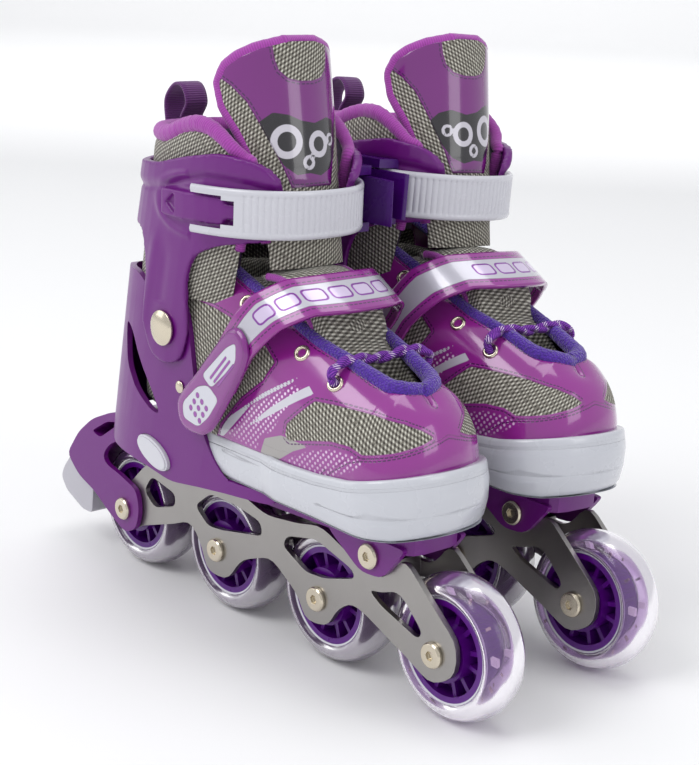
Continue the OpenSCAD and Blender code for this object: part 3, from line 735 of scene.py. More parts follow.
def toe_sole(side):
    px, py, s = plan(50, 90, 0.0, 31.5, 38.4, 83.0, -62.0)
    px, py = np.r_[px[::-1][:-1], px], np.r_[-py[::-1][:-1], py]
    s = np.r_[-s[::-1][:-1], s]
    # Behind x = 24 the sole runs on inside the shell
    slim = np.clip((px - 18) / 12, 0, 1)
    py = py * (35.6 + (38.4 - 35.6) * slim) / 38.4
    nx, ny = np.gradient(py), -np.gradient(px)
    ln = np.hypot(nx, ny)
    nx, ny = nx / ln, ny / ln
    zt = np.interp(px, [-62, 40, 60, 80, 100, 115], [107.0, 107, 108, 110.4, 114.6, 117.6])
    zb = np.interp(px, [-62, 60, 92, 104, 115], [86.0, 86, 85.2, 85.6, 87.5])
    prof = [(-4.5, 1.0, -0.4), (-1.6, 1.0, 0.3), (-0.5, 1.0, 0.1), (0.1, 1.0, -1.0), (0.5, 1.0, -2.6),
            (0.8, 1.0, -4.2), (1.15, 0.75, -1.0), (1.3, 0.62, 0), (1.25, 0.48, 0), (1.0, 0.36, 0),
            (0.75, 0.25, 0), (0.2, 0.13, 0), (-0.9, 0.05, 0), (-2.6, 0.0, 0.3), (-6.0, 0.0, 0.0),
            (-14.0, 0.0, 0.0), (-24.0, 0.0, 0.0)]
    sub = smooth_path([(a, b, c) for a, b, c in prof], 44)
    V, Z = [], []
    for i in range(len(px)):
        z = zb[i] + (zt[i] - zb[i]) * sub[:, 1] + sub[:, 2]
        bulge = np.where(px[i] > 60, (px[i] - 60) / 90, 0) * 1.4 * np.sin(np.pi * sub[:, 1])
        off = sub[:, 0] + bulge
        if abs(py[i]) < 1e-6 or True:
            deep = np.minimum(0, off) * min(1.0, abs(py[i]) / 24 + 0.45)
            off = np.where(off < -3, deep, off)
        V.append(np.c_[px[i] + nx[i] * off, py[i] + ny[i] * off, z])
        Z.append(z - zb[i])
    V, Z = np.array(V), np.array(Z)
    n, m = V.shape[:2]
    S = np.repeat(s[:, None], m, 1)
    top = (zt - zb)[:, None] - 4.0
    seam = np.abs(Z - top) + np.where(sub[None, :, 0] < -2, 20, 0)
    flat = np.stack([np.abs(S), Z], -1).reshape(-1, 2)
    waves = [[(150, 15), (100, 12), (70, 9.5), (40, 11), (20, 12.5), (0, 12)],
             [(78, 9.5), (60, 6.0), (45, 5.4), (28, 7.5), (14, 9.4), (0, 9.0)],
             [(44, 16.5), (30, 15.2), (16, 15.6), (0, 15.4)]]
    w = np.min([line_sd(flat, l)[0] for l in waves], axis=0)
    ob = make("toe_sole", side, V.reshape(-1, 3), grid_faces(n, m), "sole", "toe", "white_plastic",
              uv=np.stack([S, Z], -1), attrs={"seam": seam.ravel(), "seam_al": S.ravel() + 400,
                                              "wave": w}, stands=("toe_sole",))
    bm = bmesh.new()
    bm.from_mesh(ob.data)
    bmesh.ops.holes_fill(bm, edges=[e for e in bm.edges if e.is_boundary], sides=0)
    bmesh.ops.recalc_face_normals(bm, faces=bm.faces)
    bm.to_mesh(ob.data)
    bm.free()
    # Underside between the two walls, rising at the toe
    h = len(px) // 2
    V = [q for x, y, z in zip(px[:h + 1], py[:h + 1], zb) for q in ((x, y * 0.97, z + 0.3), (x, -y * 0.97, z + 0.3))]
    make("sole_floor", side, V, [(2 * i, 2 * i + 1, 2 * i + 3, 2 * i + 2) for i in range(h)], "sole", "toe",
         "white_plastic", smooth=False,
         attrs={"seam": np.full(len(V), 9.0), "seam_al": np.zeros(len(V)), "wave": np.full(len(V), 9.0)})


# ------------------------------------------------------------------ tongue

PANEL = [(-34.9, 90), (-24, 98), (-16, 98), (-15.5, 91), (-14, 85.5), (-10, 81.5), (-4, 80), (4, 80),
         (10, 81.5), (14, 85.5), (15.5, 91), (16, 98), (24, 98), (34.9, 90), (31, 80), (27, 72), (22, 58),
         (16, 42), (12, 30), (-12, 30), (-16, 42), (-22, 58), (-27, 72), (-31, 80)]
PATCH = [(-23.5, 62), (-18, 66), (-11, 64.5), (-5, 61.5), (3, 60), (12, 62.5), (18, 61), (22, 57), (17, 45),
         (12, 38), (5, 35), (-2, 36.5), (-9, 36), (-15, 41), (-20, 52)]


def tongue_mat():
    k = Mat("tongue_panels", Roughness=0.2)
    uv, co = k.uv(), k.obj()
    col_mesh, h = woven(k, uv, 2.0)
    panel, patch = k.attr("panel"), k.attr("patch")
    is_panel, is_patch = k.step(panel, 0.0, 0.25), k.step(patch, 0.0, 0.25)
    patent = k.mix(k.noise(co, 14.0, 3.0), lin(102, 24, 106), lin(122, 36, 126))
    ring = k.math("MULTIPLY", k.step(k.attr("rings"), 0.0, 0.2), is_patch)
    col = k.mix(is_panel, col_mesh, patent)
    col = k.mix(is_patch, col, k.mix(k.noise(co, 300.0, 2.0), lin(20, 18, 22), lin(34, 30, 38)))
    col = k.mix(ring, col, lin(196, 192, 202))
    st = dashes(k, panel, k.attr("panel_al"), 1.5)
    st = k.math("MULTIPLY", st, k.math("SUBTRACT", 1.0, is_patch))
    k.put("Base Color", k.mix(st, col, lin(70, 20, 80)))
    k.put("Roughness", k.mixf(is_panel, 0.88, 0.18))
    k.put("Coat Weight", k.mixf(is_panel, 0.0, 0.9))
    k.put("Coat Roughness", 0.06)
    n1 = k.bump(k.step(panel, 0.2, 0.6), 0.9, 0.001)
    n2 = k.bump(k.math("MULTIPLY", h, k.math("SUBTRACT", 1.0, is_panel)), 0.6, 0.0008, n1)
    k.put("Normal", k.bump(k.noise(co, 30.0, 3.0), 0.3, 0.0016, n2))
    return k.m


M["tongue"] = tongue_mat()


def tongue_at(phi, h, r=35.0):
    """Point of the tongue at an angle round the shin and a height along it."""
    a, th = np.radians(phi), math.radians(-9.5)
    x, y = r * np.cos(a), r * np.sin(a)
    return np.stack([-22 + x * math.cos(th) + h * math.sin(th), y,
                     196 - x * math.sin(th) + h * math.cos(th)], -1)


def tongue_half_width(h):
    return np.interp(h, [0, 25, 45, 58, 71, 82, 89, 93, 96, 98.5],
                     [42, 45, 51, 60, 73, 76, 68, 56, 40, 14])


def tongue(side):
    H = np.r_[np.linspace(-8, 86, 60), 86 + 12.4 * np.sin(np.linspace(0, math.pi / 2, 26))[1:]]
    t = np.linspace(-1, 1, 61)
    W = tongue_half_width(H)
    phi = W[:, None] * t[None]
    hh = np.repeat(H[:, None], 61, 1)
    puff = 1.5 * np.sqrt(np.clip(1 - t ** 6, 0, 1))[None] * np.ones_like(hh)
    dip = -1.4 * np.exp(-((hh - 14) / 7) ** 2) * np.exp(-(t[None] / 0.9) ** 2)
    wrinkle = 0.35 * np.sin(hh * 0.8 + phi * 0.07) * np.exp(-((hh - 24) / 12) ** 2)
    out = tongue_at(phi, hh, 33.8 + puff + dip + wrinkle)
    back = tongue_at(phi, hh, 26.5 + 3.0 * np.abs(t[None]) ** 3 * np.ones_like(hh))
    n, m = out.shape[:2]
    uvp = np.stack([np.radians(phi) * 35, hh], -1)
    flat = uvp.reshape(-1, 2)
    arc = lambda poly: [(35 * math.asin(max(-1, min(1, y / 35))), h) for y, h in poly]
    pa, pal = outline_sd(flat, arc(PANEL))
    pt, _ = outline_sd(flat, arc(PATCH))
    # Plain rings in place of the printed picture
    rings = np.full(len(flat), -9.0)
    for cx, cz, r, w in ((-13, 52, 6.4, 1.7), (5, 50, 5.0, 1.4), (-2, 41.5, 2.6, 0.9), (14.5, 52, 2.4, 0.8)):
        rings = np.maximum(rings, w - np.abs(np.hypot(flat[:, 0] - cx, flat[:, 1] - cz) - r))
    ob = make("tongue", side, out.reshape(-1, 3), grid_faces(n, m), "tongue", "upper_cuff",
              "patent", uv=uvp, attrs={"panel": pa, "panel_al": pal, "patch": pt, "rings": rings},
              stands=("tongue",))
    make("tongue_back", side, back.reshape(-1, 3), [f[::-1] for f in grid_faces(n, m)], "lining",
         "upper_cuff", "liner_mesh", uv=uvp)
    edge_h = np.r_[H[8:], H[::-1][:-8]]
    edge_p = np.r_[-W[8:], W[::-1][:-8]]
    path = smooth_path(tongue_at(edge_p, edge_h, 31.6), 150)
    tube("tongue_binding", side, path, 3.4, "binding", "upper_cuff", "patent", sides=14,
         up=(1, 0, 0.2), pucker=0.025)


def lower_tongue(side):
    """The tongue's lower half, down into the throat."""
    prof = smooth_path([(6, 193), (18, 193.5), (29, 189.5), (36.5, 181.5), (43.5, 168),
                        (49, 153), (54, 142), (57, 134)], 40)
    t = np.linspace(-1, 1, 31)
    w = np.linspace(22.5, 15, 40)
    y = w[:, None] * t[None]
    fall = (1 - np.sqrt(np.clip(1 - (t * 0.96) ** 2, 0, 1)))[None] * 13
    X = prof[:, :1] - fall * 0.9
    Z = prof[:, 1:2] - fall * 0.5
    s = np.r_[0, np.cumsum(np.hypot(*np.diff(prof, axis=0).T))]
    X = X + 0.5 * np.sin(s * 0.7)[:, None] * np.cos(t * 3)[None]
    V = np.stack(np.broadcast_arrays(X, y, Z), -1)
    uv = np.stack(np.broadcast_arrays(y, s[:, None]), -1)
    ob = make("lower_tongue", side, V.reshape(-1, 3), [f[::-1] for f in grid_faces(40, 31)],
              "mesh", "base", "liner_mesh", uv=uv)
    modifier(ob, "SOLIDIFY", thickness=0.004, offset=-1.0)
    apply_all(ob)
    for e, nm in ((0, "outer"), (-1, "inner")):
        tube(f"tongue_hem_{nm}", side, smooth_path(V[2:, e], 60), 1.9, "binding", "base",
             "liner_mesh", sides=10, up=(0, 1, 0.1))


# ------------------------------------------------------------------ collar

def oval_at(a, x0, back, front, b, e=2.3):
    c, s = np.cos(a), np.sin(a)
    return (x0 + np.where(c > 0, front, back) * np.sign(c) * np.abs(c) ** (2 / e),
            b * np.sign(s) * np.abs(s) ** (2 / e))


def leaned(x, y, z, at_z, lean):
    """Shears a plan forward with height, as the leaning cuff does."""
    return x + (z - at_z) * math.tan(math.radians(lean)), y, z


def collar_top(x):
    return np.interp(x, [-110, -96, -60, -44, -34, -26, -18, -10, 0, 8],
                     [248, 249, 250.5, 256.5, 258.5, 258, 254.5, 249, 240, 231])


def collar(side):
    ang = np.radians(np.linspace(47, 313, 130))
    inset = [(0.6, 188), (0.2, 200), (0.0, 214), (0.4, 228), (-0.8, 238)]
    cols = []
    U = []
    for a in ang:
        ring = []
        x, y = oval_at(a, -45, 54.5, 55, 40.0)
        # Where this column meets the top line
        zt = 255.0
        for _ in range(6):
            zt = float(collar_top(x + (zt - 219.75) * math.tan(math.radians(12))))
        nrm = np.array([(x + 45) / 54.5 ** 2, y / 40.0 ** 2])
        nrm /= np.linalg.norm(nrm)
        m = 0.45 + 0.55 * min(1, (abs(a - math.pi) < 1.6) + 0.3)
        zs = [(172, -1.4), (188, -0.8), (200, -0.4), (212, -0.2), (zt - 24, 0.0), (zt - 9, 0.9), (zt - 4, 0.4),
              (zt - 1, -1.6 * m), (zt, -4.0 * m), (zt - 1, -6.4 * m), (zt - 4, -8.2 * m), (zt - 14, -8.6 * m),
              (216, -8.4 * m), (200, -8.2 * m), (190, -8.0 * m)]
        for z, off in zs:
            px, py = x + nrm[0] * off, y + nrm[1] * off
            ring.append((px + (z - 219.75) * math.tan(math.radians(12)), py, z))
        ring = smooth_path(ring, 60)
        s = np.r_[0, np.cumsum(np.linalg.norm(np.diff(ring, axis=0), axis=1))]
        cols.append(ring)
        U.append(s)
    V = np.array(cols)
    n, m = V.shape[:2]
    arc = np.r_[0, np.cumsum(np.linalg.norm(np.diff(V[:, 0], axis=0), axis=1))]
    uv = np.stack([np.repeat(arc[:, None], m, 1), np.array(U)], -1)
    inner = np.zeros((n - 1, m - 1), int)
    inner[:, 34:] = 1
    ob = make("collar", side, V.reshape(-1, 3), grid_faces(n, m), None, "upper_cuff", "liner_mesh",
              uv=uv, stands=("liner_shaft",), mats=["mesh", "lining"], face_mats=inner.ravel())
    k = [int(np.argmax(c[:, 2])) for c in V]
    rim = np.array([c[i] for c, i in zip(V, k)])
    low_o = [(rim[0][0] - 1 - (rim[0][2] - z) * 0.213, rim[0][1] * 1.01, z) for z in (200, 212, 224)]
    low_i = [(rim[-1][0] - 1 - (rim[-1][2] - z) * 0.213, rim[-1][1] * 1.01, z) for z in (224, 212, 200)]
    path = smooth_path(np.r_[low_o, rim[1:-1:4], rim[-2:-1], low_i], 200)
    away = path[:, :2] - [-50, 0]
    away /= np.linalg.norm(away, axis=1)[:, None]
    path[:, :2] += away * 1.2
    size = np.interp(np.linspace(-1, 1, 200), [-1, -0.7, -0.4, 0.4, 0.7, 1], [2.6, 3.0, 4.6, 4.6, 3.0, 2.6])
    tube("collar_binding", side, path, size, "binding", "upper_cuff", "liner_mesh", sides=16,
         flat=1.0, pucker=0.05)


def liner_foot(side):
    """Padded boot liner, rounded off from its plain solid."""
    src = frame["nodes"][f"{side}_liner_foot"]
    me = src.data.copy()
    ob = bpy.data.objects.new(f"{side}_liner_look", me)
    bpy.context.scene.collection.objects.link(ob)
    me.materials.clear()
    me.materials.append(M["mesh"])
    modifier(ob, "REMESH", mode="VOXEL", voxel_size=0.0028)
    modifier(ob, "SMOOTH", factor=0.5, iterations=5)
    apply_all(ob)
    me = ob.data
    co = np.zeros(len(me.vertices) * 3)
    me.vertices.foreach_get("co", co)
    P = local(side, co.reshape(-1, 3))
    # Drawn back at the front, inside the rounder toe
    ahead = np.clip(P[:, 0] - 55, 0, None)
    P[:, 0] -= ahead * 0.42
    P[:, 1] *= 1 - ahead * 0.0035
    P[:, 2] -= ahead * 0.10 * (P[:, 2] > 125)
    co = world(side, P)
    me.vertices.foreach_set("co", co.ravel())
    lay = me.uv_layers.new(name="UVMap")
    idx = np.zeros(len(me.loops), np.int32)
    me.loops.foreach_get("vertex_index", idx)
    lay.data.foreach_set("uv", np.c_[co[idx, 0] + co[idx, 1] * 0.4, co[idx, 2] + co[idx, 1] * 0.4].ravel())
    me.polygons.foreach_set("use_smooth", np.ones(len(me.polygons), bool))
    if not me.materials:
        me.materials.append(M["mesh"])
    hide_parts(f"{side}_liner_foot")
    PARTS[ob.name] = (ob, f"{side}_base")


# ------------------------------------------------------------------ straps

def ribbed(name="ribbed_white"):
    k = Mat(name, Roughness=0.26)
    co = k.obj()
    k.put("Base Color", k.mix(k.noise(co, 14.0, 3.0), lin(190, 190, 198), lin(202, 202, 209)))
    k.put("Roughness", k.mixf(k.noise(co, 60.0, 4.0), 0.2, 0.36))
    k.put("Coat Weight", 0.4)
    k.put("Coat Roughness", 0.12)
    k.put("Normal", k.bump(k.noise(co, 500.0, 2.0), 0.06, 0.0002))
    return k.m


M["ribbed"] = ribbed()


def ankle_strap(side):
    """The ratchet strap: a forked white band, smooth at first and then ribbed."""
    out = oval_at(np.radians(np.linspace(-115, 112, 900)), -45, 62, 64.5, 48.8)
    P = np.c_[out]
    P = P.T if P.shape[0] == 2 else P
    s = np.r_[0, np.cumsum(np.hypot(*np.diff(P, axis=0).T))]
    keep = ((P[:, 1] < 0) & (P[:, 0] > -27)) | ((P[:, 1] >= 0) & (P[:, 0] > -22))
    P, s = P[keep], s[keep]
    s = s - s[0]
    total = s[-1]
    t = np.linspace(0, total, 520)
    X, Y = np.interp(t, s, P[:, 0]), np.interp(t, s, P[:, 1])
    tx, ty = np.gradient(X), np.gradient(Y)
    L = np.hypot(tx, ty)
    nx, ny = ty / L, -tx / L
    band = np.where((t > 30) & (t < total - 4), 1.0, 0.0)
    ribs = 0.55 * band * np.abs(np.sin(np.pi * t / 3.1)) ** 0.6
    ribs *= np.clip((t - 30) / 1.5, 0, 1)
    zlo, zhi = 208.0, 231.5
    rows = [(-2.4, zlo + 1.0), (-0.9, zlo), (-0.1, zlo + 0.4), (0.35, zlo + 1.6), (0.35, zlo + 2.6),
            (0.0, zlo + 3.2), (0.0, zlo + 4), (0, 214), (0, 219.75), (0, 225.5), (0.0, zhi - 4),
            (0.0, zhi - 3.2), (0.35, zhi - 2.6), (0.35, zhi - 1.6), (-0.1, zhi - 0.4), (-0.9, zhi),
            (-2.4, zhi - 1.0)]
    V = []
    for off, z in rows:
        inner = 1.0 if zlo + 3 < z < zhi - 3 else 0.0
        o = off + ribs * inner - 0.35 * inner * band
        V.append(np.c_[X + nx * o, Y + ny * o, np.full(len(X), z)])
    V = np.stack(V, 1)
    # The tines of the fork leave a way for the cuff's tab
    uv = np.stack(np.broadcast_arrays(t[:, None], np.array([r[1] for r in rows])[None]), -1)
    faces = grid_faces(len(t), len(rows), False, True)
    cut = X < -9.4
    keep_f = []
    for f in faces:
        i = min(v // len(rows) for v in f)
        z = np.mean([V[v // len(rows), v % len(rows), 2] for v in f])
        lim = 7.4 if X[i] < -9.4 else (4.2 if X[i] < -3.2 else 0)
        if not (Y[i] < 0 and abs(z - 219.75) < lim and lim):
            keep_f.append(f)
    n = len(rows)
    keep_f += [tuple(range(n)), tuple((len(t) - 1) * n + n - 1 - i for i in range(n))] if False else []
    ob = make("ankle_strap", side, V.reshape(-1, 3), keep_f, "ribbed", "strap", "white_plastic",
              uv=uv, stands=("ankle_strap",), smooth=True)
    return ob


def surface_strap(t, w):
    """Point of the instep strap's upper face, from the fold's own two directions."""
    a = math.radians(30)
    return t * math.cos(a) + w * math.sin(a), 211.5 - t * math.sin(a) + w * math.cos(a)


STRAP_HI = [(-108, 15), (-96, 17), (-57, 19.4), (-20, 23), (0, 36), (20, 23), (57, 19.4), (96, 17),
            (108, 15)]
STRAP_LO = [(-108, 29), (-100, 30), (-65, 42), (-42, 42.6), (-19, 48), (0, 61.5)]


def strap_mat():
    k = Mat("silver_strap", Roughness=0.22)
    co = k.obj()
    e, al = k.attr("edge"), k.attr("edge_al")
    rim = k.math("SUBTRACT", 1.0, k.step(e, 5.2, 0.25))
    silver = k.mix(k.noise(co, 16.0, 3.0), lin(176, 174, 186), lin(198, 196, 206))
    patent = k.mix(k.noise(co, 16.0, 3.0), lin(128, 32, 124), lin(148, 46, 144))
    pill = k.step(k.attr("pills"), 0.0, 0.22)
    line = k.math("SUBTRACT", 1.0, k.step(k.math("ABSOLUTE", k.attr("pills")), 0.55, 0.22))
    col = k.mix(pill, silver, lin(206, 190, 220))
    col = k.mix(line, col, lin(132, 60, 156))
    st = dashes(k, e, al, 3.4)
    col = k.mix(rim, col, patent)
    col = k.mix(st, col, lin(70, 20, 80))
    k.put("Base Color", col)
    k.put("Metallic", k.mixf(rim, 0.25, 0.0))
    k.put("Roughness", k.mixf(rim, 0.26, 0.16))
    k.put("Coat Weight", 0.8)
    k.put("Coat Roughness", 0.07)
    n1 = k.bump(k.math("ADD", rim, k.math("MULTIPLY", pill, 0.5)), 0.8, 0.0009)
    k.put("Normal", k.bump(k.noise(co, 26.0, 3.0), 0.3, 0.0018, n1))
    return k.m


M["strap"] = strap_mat()


def instep_strap(side):
    """Flat strap across the instep, down both sides to the sole."""
    b, h = 43.5, 44.0
    # Section: straight legs, then a super-elliptic arch
    a = np.linspace(0, math.pi / 2, 60)
    cy, cz = b * np.cos(a) ** (2 / 2.5), h * np.sin(a) ** (2 / 2.5)
    leg = np.linspace(-58, -0.8, 30)
    y = np.r_[np.full(30, -b), -cy, cy[::-1][1:], np.full(30, b)]
    w = np.r_[leg, cz, cz[::-1][1:], leg[::-1]] - h
    q = np.r_[0, np.cumsum(np.hypot(np.diff(y), np.diff(w)))]
    n = 220
    qq = np.linspace(0, q[-1], n)
    y, w = np.interp(qq, q, y), np.interp(qq, q, w)
    lo_w = [-100, -65, -42, -19, 0]
    hi = np.interp(w, [-100, -96, -57, -20, -6, 0], [16.6, 17, 19.4, 23, 29, 35])
    lo = np.interp(w, [-100, -96, -65, -42, -19, -6, 0], [30, 31.5, 42, 42.6, 48, 54, 61])
    t = np.linspace(0, 1, 26)
    T = hi[:, None] + (lo - hi)[:, None] * t[None]
    W = np.repeat(w[:, None], 26, 1)
    X, Z = surface_strap(T, W)
    Y = np.repeat(y[:, None], 26, 1)
    V = np.stack([X, Y, Z], -1)
    # End square to the strap, at the height of the shell's ledge
    mid = V[:, 13]
    ok = (mid[:, 2] > 121) | (Y[:, 0] > 0) & (mid[:, 2] > 112)
    V, T, W, Y = V[ok], T[ok], W[ok], Y[ok]
    n = len(V)
    width = (lo - hi)[ok]
    e = np.minimum(t[None] * width[:, None], (1 - t)[None] * width[:, None]) * 0.94
    s = np.r_[0, np.cumsum(np.linalg.norm(np.diff(V[:, 13], axis=0), axis=1))]
    S = np.repeat(s[:, None], 26, 1)
    c = (t[None] - 0.5) * width[:, None] * 0.94
    half = s[int(np.argmin(np.abs(Y[:, 0])))]
    pills = np.full(S.shape, -9.0)
    # Plain pills in place of lettering
    for i in range(6):
        at = half - 50 + i * 13.2
        dx, dy = np.abs(S - at) - 3.2, np.abs(c) - 1.6
        d = np.hypot(np.maximum(dx, 0), np.maximum(dy, 0)) + np.minimum(np.maximum(dx, dy), 0)
        pills = np.maximum(pills, 2.0 - d)
    ob = make("instep_strap", side, V.reshape(-1, 3), grid_faces(n, 26), "strap", "toe",
              "strap_silver", uv=np.stack([S, c], -1),
              attrs={"edge": e.ravel(), "edge_al": S.ravel() + 100, "pills": pills.ravel()},
              stands=("instep_strap",))
    modifier(ob, "SOLIDIFY", thickness=0.0022, offset=-1.0)
    apply_all(ob)


FLAP = [(-38.5, 121.5), (-37, 113), (-32.5, 108.6), (-25, 107.6), (-17, 108.2), (-10.5, 112),
        (-5, 119), (1, 128), (8, 138.5), (14.5, 149), (16.8, 156.5), (14.5, 163.5), (8.5, 168),
        (2.5, 166.4), (-4.5, 160), (-13, 150.5), (-24, 138), (-33, 129)]


def flap_mat():
    k = Mat("flap_patent", Roughness=0.2)
    co = k.obj()
    patent = k.mix(k.noise(co, 16.0, 3.0), lin(112, 26, 116), lin(134, 38, 136))
    ins = k.step(k.attr("inset"), 0.0, 0.22)
    mark = k.step(k.attr("marks"), 0.0, 0.2)
    col = k.mix(ins, patent, lin(196, 196, 206))
    col = k.mix(mark, col, lin(136, 50, 150))
    edge = k.math("SUBTRACT", 1.0, k.step(k.attr("rim"), 1.6, 0.3))
    k.put("Base Color", col)
    k.put("Roughness", k.mixf(k.noise(co, 70.0, 3.0), 0.18, 0.3))
    k.put("Coat Weight", 0.8)
    k.put("Coat Roughness", 0.08)
    hgt = k.math("ADD", k.math("MULTIPLY", ins, -0.6), k.math("MULTIPLY", edge, 0.5))
    k.put("Normal", k.bump(k.math("ADD", hgt, k.math("MULTIPLY", mark, 0.6)), 0.9, 0.0011))
    return k.m


M["flap"] = flap_mat()


def strap_flap(side):
    """Rounded rubbery end of the strap, with two plain insets."""
    edge = rounded(FLAP, 3, 3)
    bm = bmesh.new()
    vs = [bm.verts.new((x, 0, z)) for x, z in edge]
    bm.faces.new(vs)
    bm.verts.ensure_lookup_table()
    # Even grid inside the outline, so the drawn lines stay crisp
    me = bpy.data.meshes.new("tmp")
    step = 0.55
    xs = np.arange(-39, 17.6, step)
    zs = np.arange(107, 168.8, step)
    gx, gz = np.meshgrid(xs, zs, indexing="ij")
    pts = np.c_[gx.ravel(), gz.ravel()]
    sd, _ = outline_sd(pts, edge)
    bm.free()
    bpy.data.meshes.remove(me)
    # Pull points just outside onto the outline
    ring = edge
    near = np.argmin(((pts[:, None, :] - ring[None]) ** 2).sum(-1), 1)
    keep = sd > -step * 1.2
    pos = pts.copy()
    out = (sd < 0) & keep
    fine = np.array([a + (b - a) * f for a, b in zip(ring, np.roll(ring, -1, 0))
                     for f in np.linspace(0, 1, 8, endpoint=False)])
    if out.any():
        q = pts[out]
        pos[out] = fine[np.argmin(((q[:, None] - fine[None]) ** 2).sum(-1), 1)]
    sd = np.maximum(sd, 0)
    dome = 1.9 * (1 - np.exp(-sd / 1.1)) + 0.9
    y = -43.9 - dome
    idx = np.full(len(pts), -1)
    idx[keep] = np.arange(keep.sum())
    nz = len(zs)
    faces = []
    for i in range(len(xs) - 1):
        for j in range(nz - 1):
            q = [i * nz + j, (i + 1) * nz + j, (i + 1) * nz + j + 1, i * nz + j + 1]
            if all(idx[v] >= 0 for v in q):
                faces.append(tuple(idx[v] for v in q))
    V = np.c_[pos[keep, 0], y[keep], pos[keep, 1]]
    tri, _ = outline_sd(pos[keep], rounded([(9.5, 161), (2, 157), (-16.5, 139.5), (-9, 134.5), (9.5, 151)], 3))
    low, _ = outline_sd(pos[keep], rounded([(-32, 122), (-31, 114.5), (-19, 112.5), (-11, 119),
                                            (-3, 130), (-11.5, 135.5), (-20, 133)], 3))
    marks = np.full(keep.sum(), -9.0)
    p = pos[keep]
    ca, sa = math.cos(math.radians(55)), math.sin(math.radians(55))
    for i in range(3):
        for j in range(3):
            c = np.array([-23.5 + i * 4.6 * ca + j * 4.4 * sa - 1.5, 119.5 + i * 4.6 * sa - j * 4.4 * ca + 1.5])
            marks = np.maximum(marks, 1.45 - np.hypot(*(p - c).T))
    for j in range(3):
        a = np.array([-9.5 + j * 3.0, 139.6 - j * 1.2])
        marks = np.maximum(marks, 0.7 - line_sd(p, [tuple(a), tuple(a + [11.5, 12.5])])[0])
    make("strap_flap", side, V, faces, "flap", "flap", "patent", uv=p,
         attrs={"inset": np.maximum(tri, low), "marks": marks, "rim": sd[keep]},
         stands=("strap_flap",))
    e = fine[::2]
    Vw = np.r_[np.c_[e[:, 0], np.full(len(e), -44.8), e[:, 1]], np.c_[e[:, 0], np.full(len(e), -43.8), e[:, 1]]]
    k = len(e)
    make("flap_wall", side, Vw, [(i, (i + 1) % k, k + (i + 1) % k, k + i) for i in range(k)],
         "flap", "flap", "patent", uv=Vw[:, [0, 2]],
         attrs={"inset": np.full(2 * k, -9), "marks": np.full(2 * k, -9), "rim": np.zeros(2 * k)})


# ----------------------------------------------------------- small pieces

def heel_loop(side):
    path = smooth_path([(-91, 0, 247), (-92, 0, 254), (-87.6, 0, 262), (-91.6, 0, 269.8),
                        (-98.6, 0, 270.2), (-106, 0, 261.6), (-104, 0, 247)], 70)
    V = []
    tan = np.gradient(path, axis=0)
    tan /= np.linalg.norm(tan, axis=1)[:, None]
    nrm = np.c_[tan[:, 2], np.zeros(len(tan)), -tan[:, 0]]
    prof = [(-7, 0), (-6.6, 0.8), (-4, 0.9), (4, 0.9), (6.6, 0.8), (7, 0), (6.6, -0.8), (4, -0.9),
            (-4, -0.9), (-6.6, -0.8)]
    for p, nn in zip(path, nrm):
        for y, o in prof:
            V.append((p[0] + nn[0] * o, y, p[2] + nn[2] * o))
    s = np.r_[0, np.cumsum(np.linalg.norm(np.diff(path, axis=0), axis=1))]
    uv = [(a, y) for a in s for y, _ in prof]
    make("heel_loop", side, V, grid_faces(len(path), len(prof), False, True), "webbing",
         "upper_cuff", "webbing", uv=uv, stands=("heel_loop",))


def lace(side):
    # Between the two lowest eyelets, with the knot standing a little proud
    half = [(59.6, -25.8, 148.2), (60, -28, 149.9), (60.3, -29.8, 151.2), (60.5, -31, 152.7), (60.6, -31.3, 154.6),
            (60.5, -30.4, 156.4), (60.4, -28, 158), (60.2, -24.4, 159.3), (60, -20, 160.1), (59.8, -14, 159.8),
            (59.5, -7, 158.8)]
    route = half + [(59.4, 0, 158.4)] + [(x, -y, z) for x, y, z in half[::-1]]
    path = smooth_path(route, 170)
    s = np.linspace(0, 1, 170)
    for d, ph in ((0, 0.0), (1, math.pi)):
        p = path.copy()
        win = np.clip(np.sin(np.pi * s), 0, 1) ** 0.5
        p[:, 0] += 1.15 * np.cos(s * 22 + ph) * win
        p[:, 2] += 1.15 * np.sin(s * 22 + ph) * win
        tube(f"lace_strand_{d + 1}", side, p, 1.75, "lace", "toe", "lace_cord", sides=10,
             up=(0.2, 0, 1), stands=("lace",) if d == 0 else ())


def eyelet_rings(side):
    for i, x in enumerate([-6, 36, 60]):
        for sg in (-1, 1):
            c = np.array([x, sg * 28.0, crown(x) - 11.6])
            R = Matrix.Rotation(math.radians(-sg * 52), 3, "X") @ Matrix.Rotation(math.radians(21 * 0.7), 3, "Y")
            R = np.array(R)
            a = np.linspace(0, 2 * math.pi, 40, endpoint=False)
            prof = [(2.1, -0.8), (2.1, 0.6), (2.5, 1.1), (3.1, 1.25), (3.7, 1.0), (4.1, 0.4), (4.1, -0.2)]
            V = []
            for t in a:
                for r, z in prof:
                    V.append(c + R @ np.array([r * math.cos(t), r * math.sin(t), z]))
            make(f"eyelet_{i + 1}_{'outer' if sg < 0 else 'inner'}", side, V,
                 grid_faces(40, len(prof), True, False), "nickel", "toe", "bolt_steel",
                 stands=("eyelets",) if (i, sg) == (0, -1) else ())


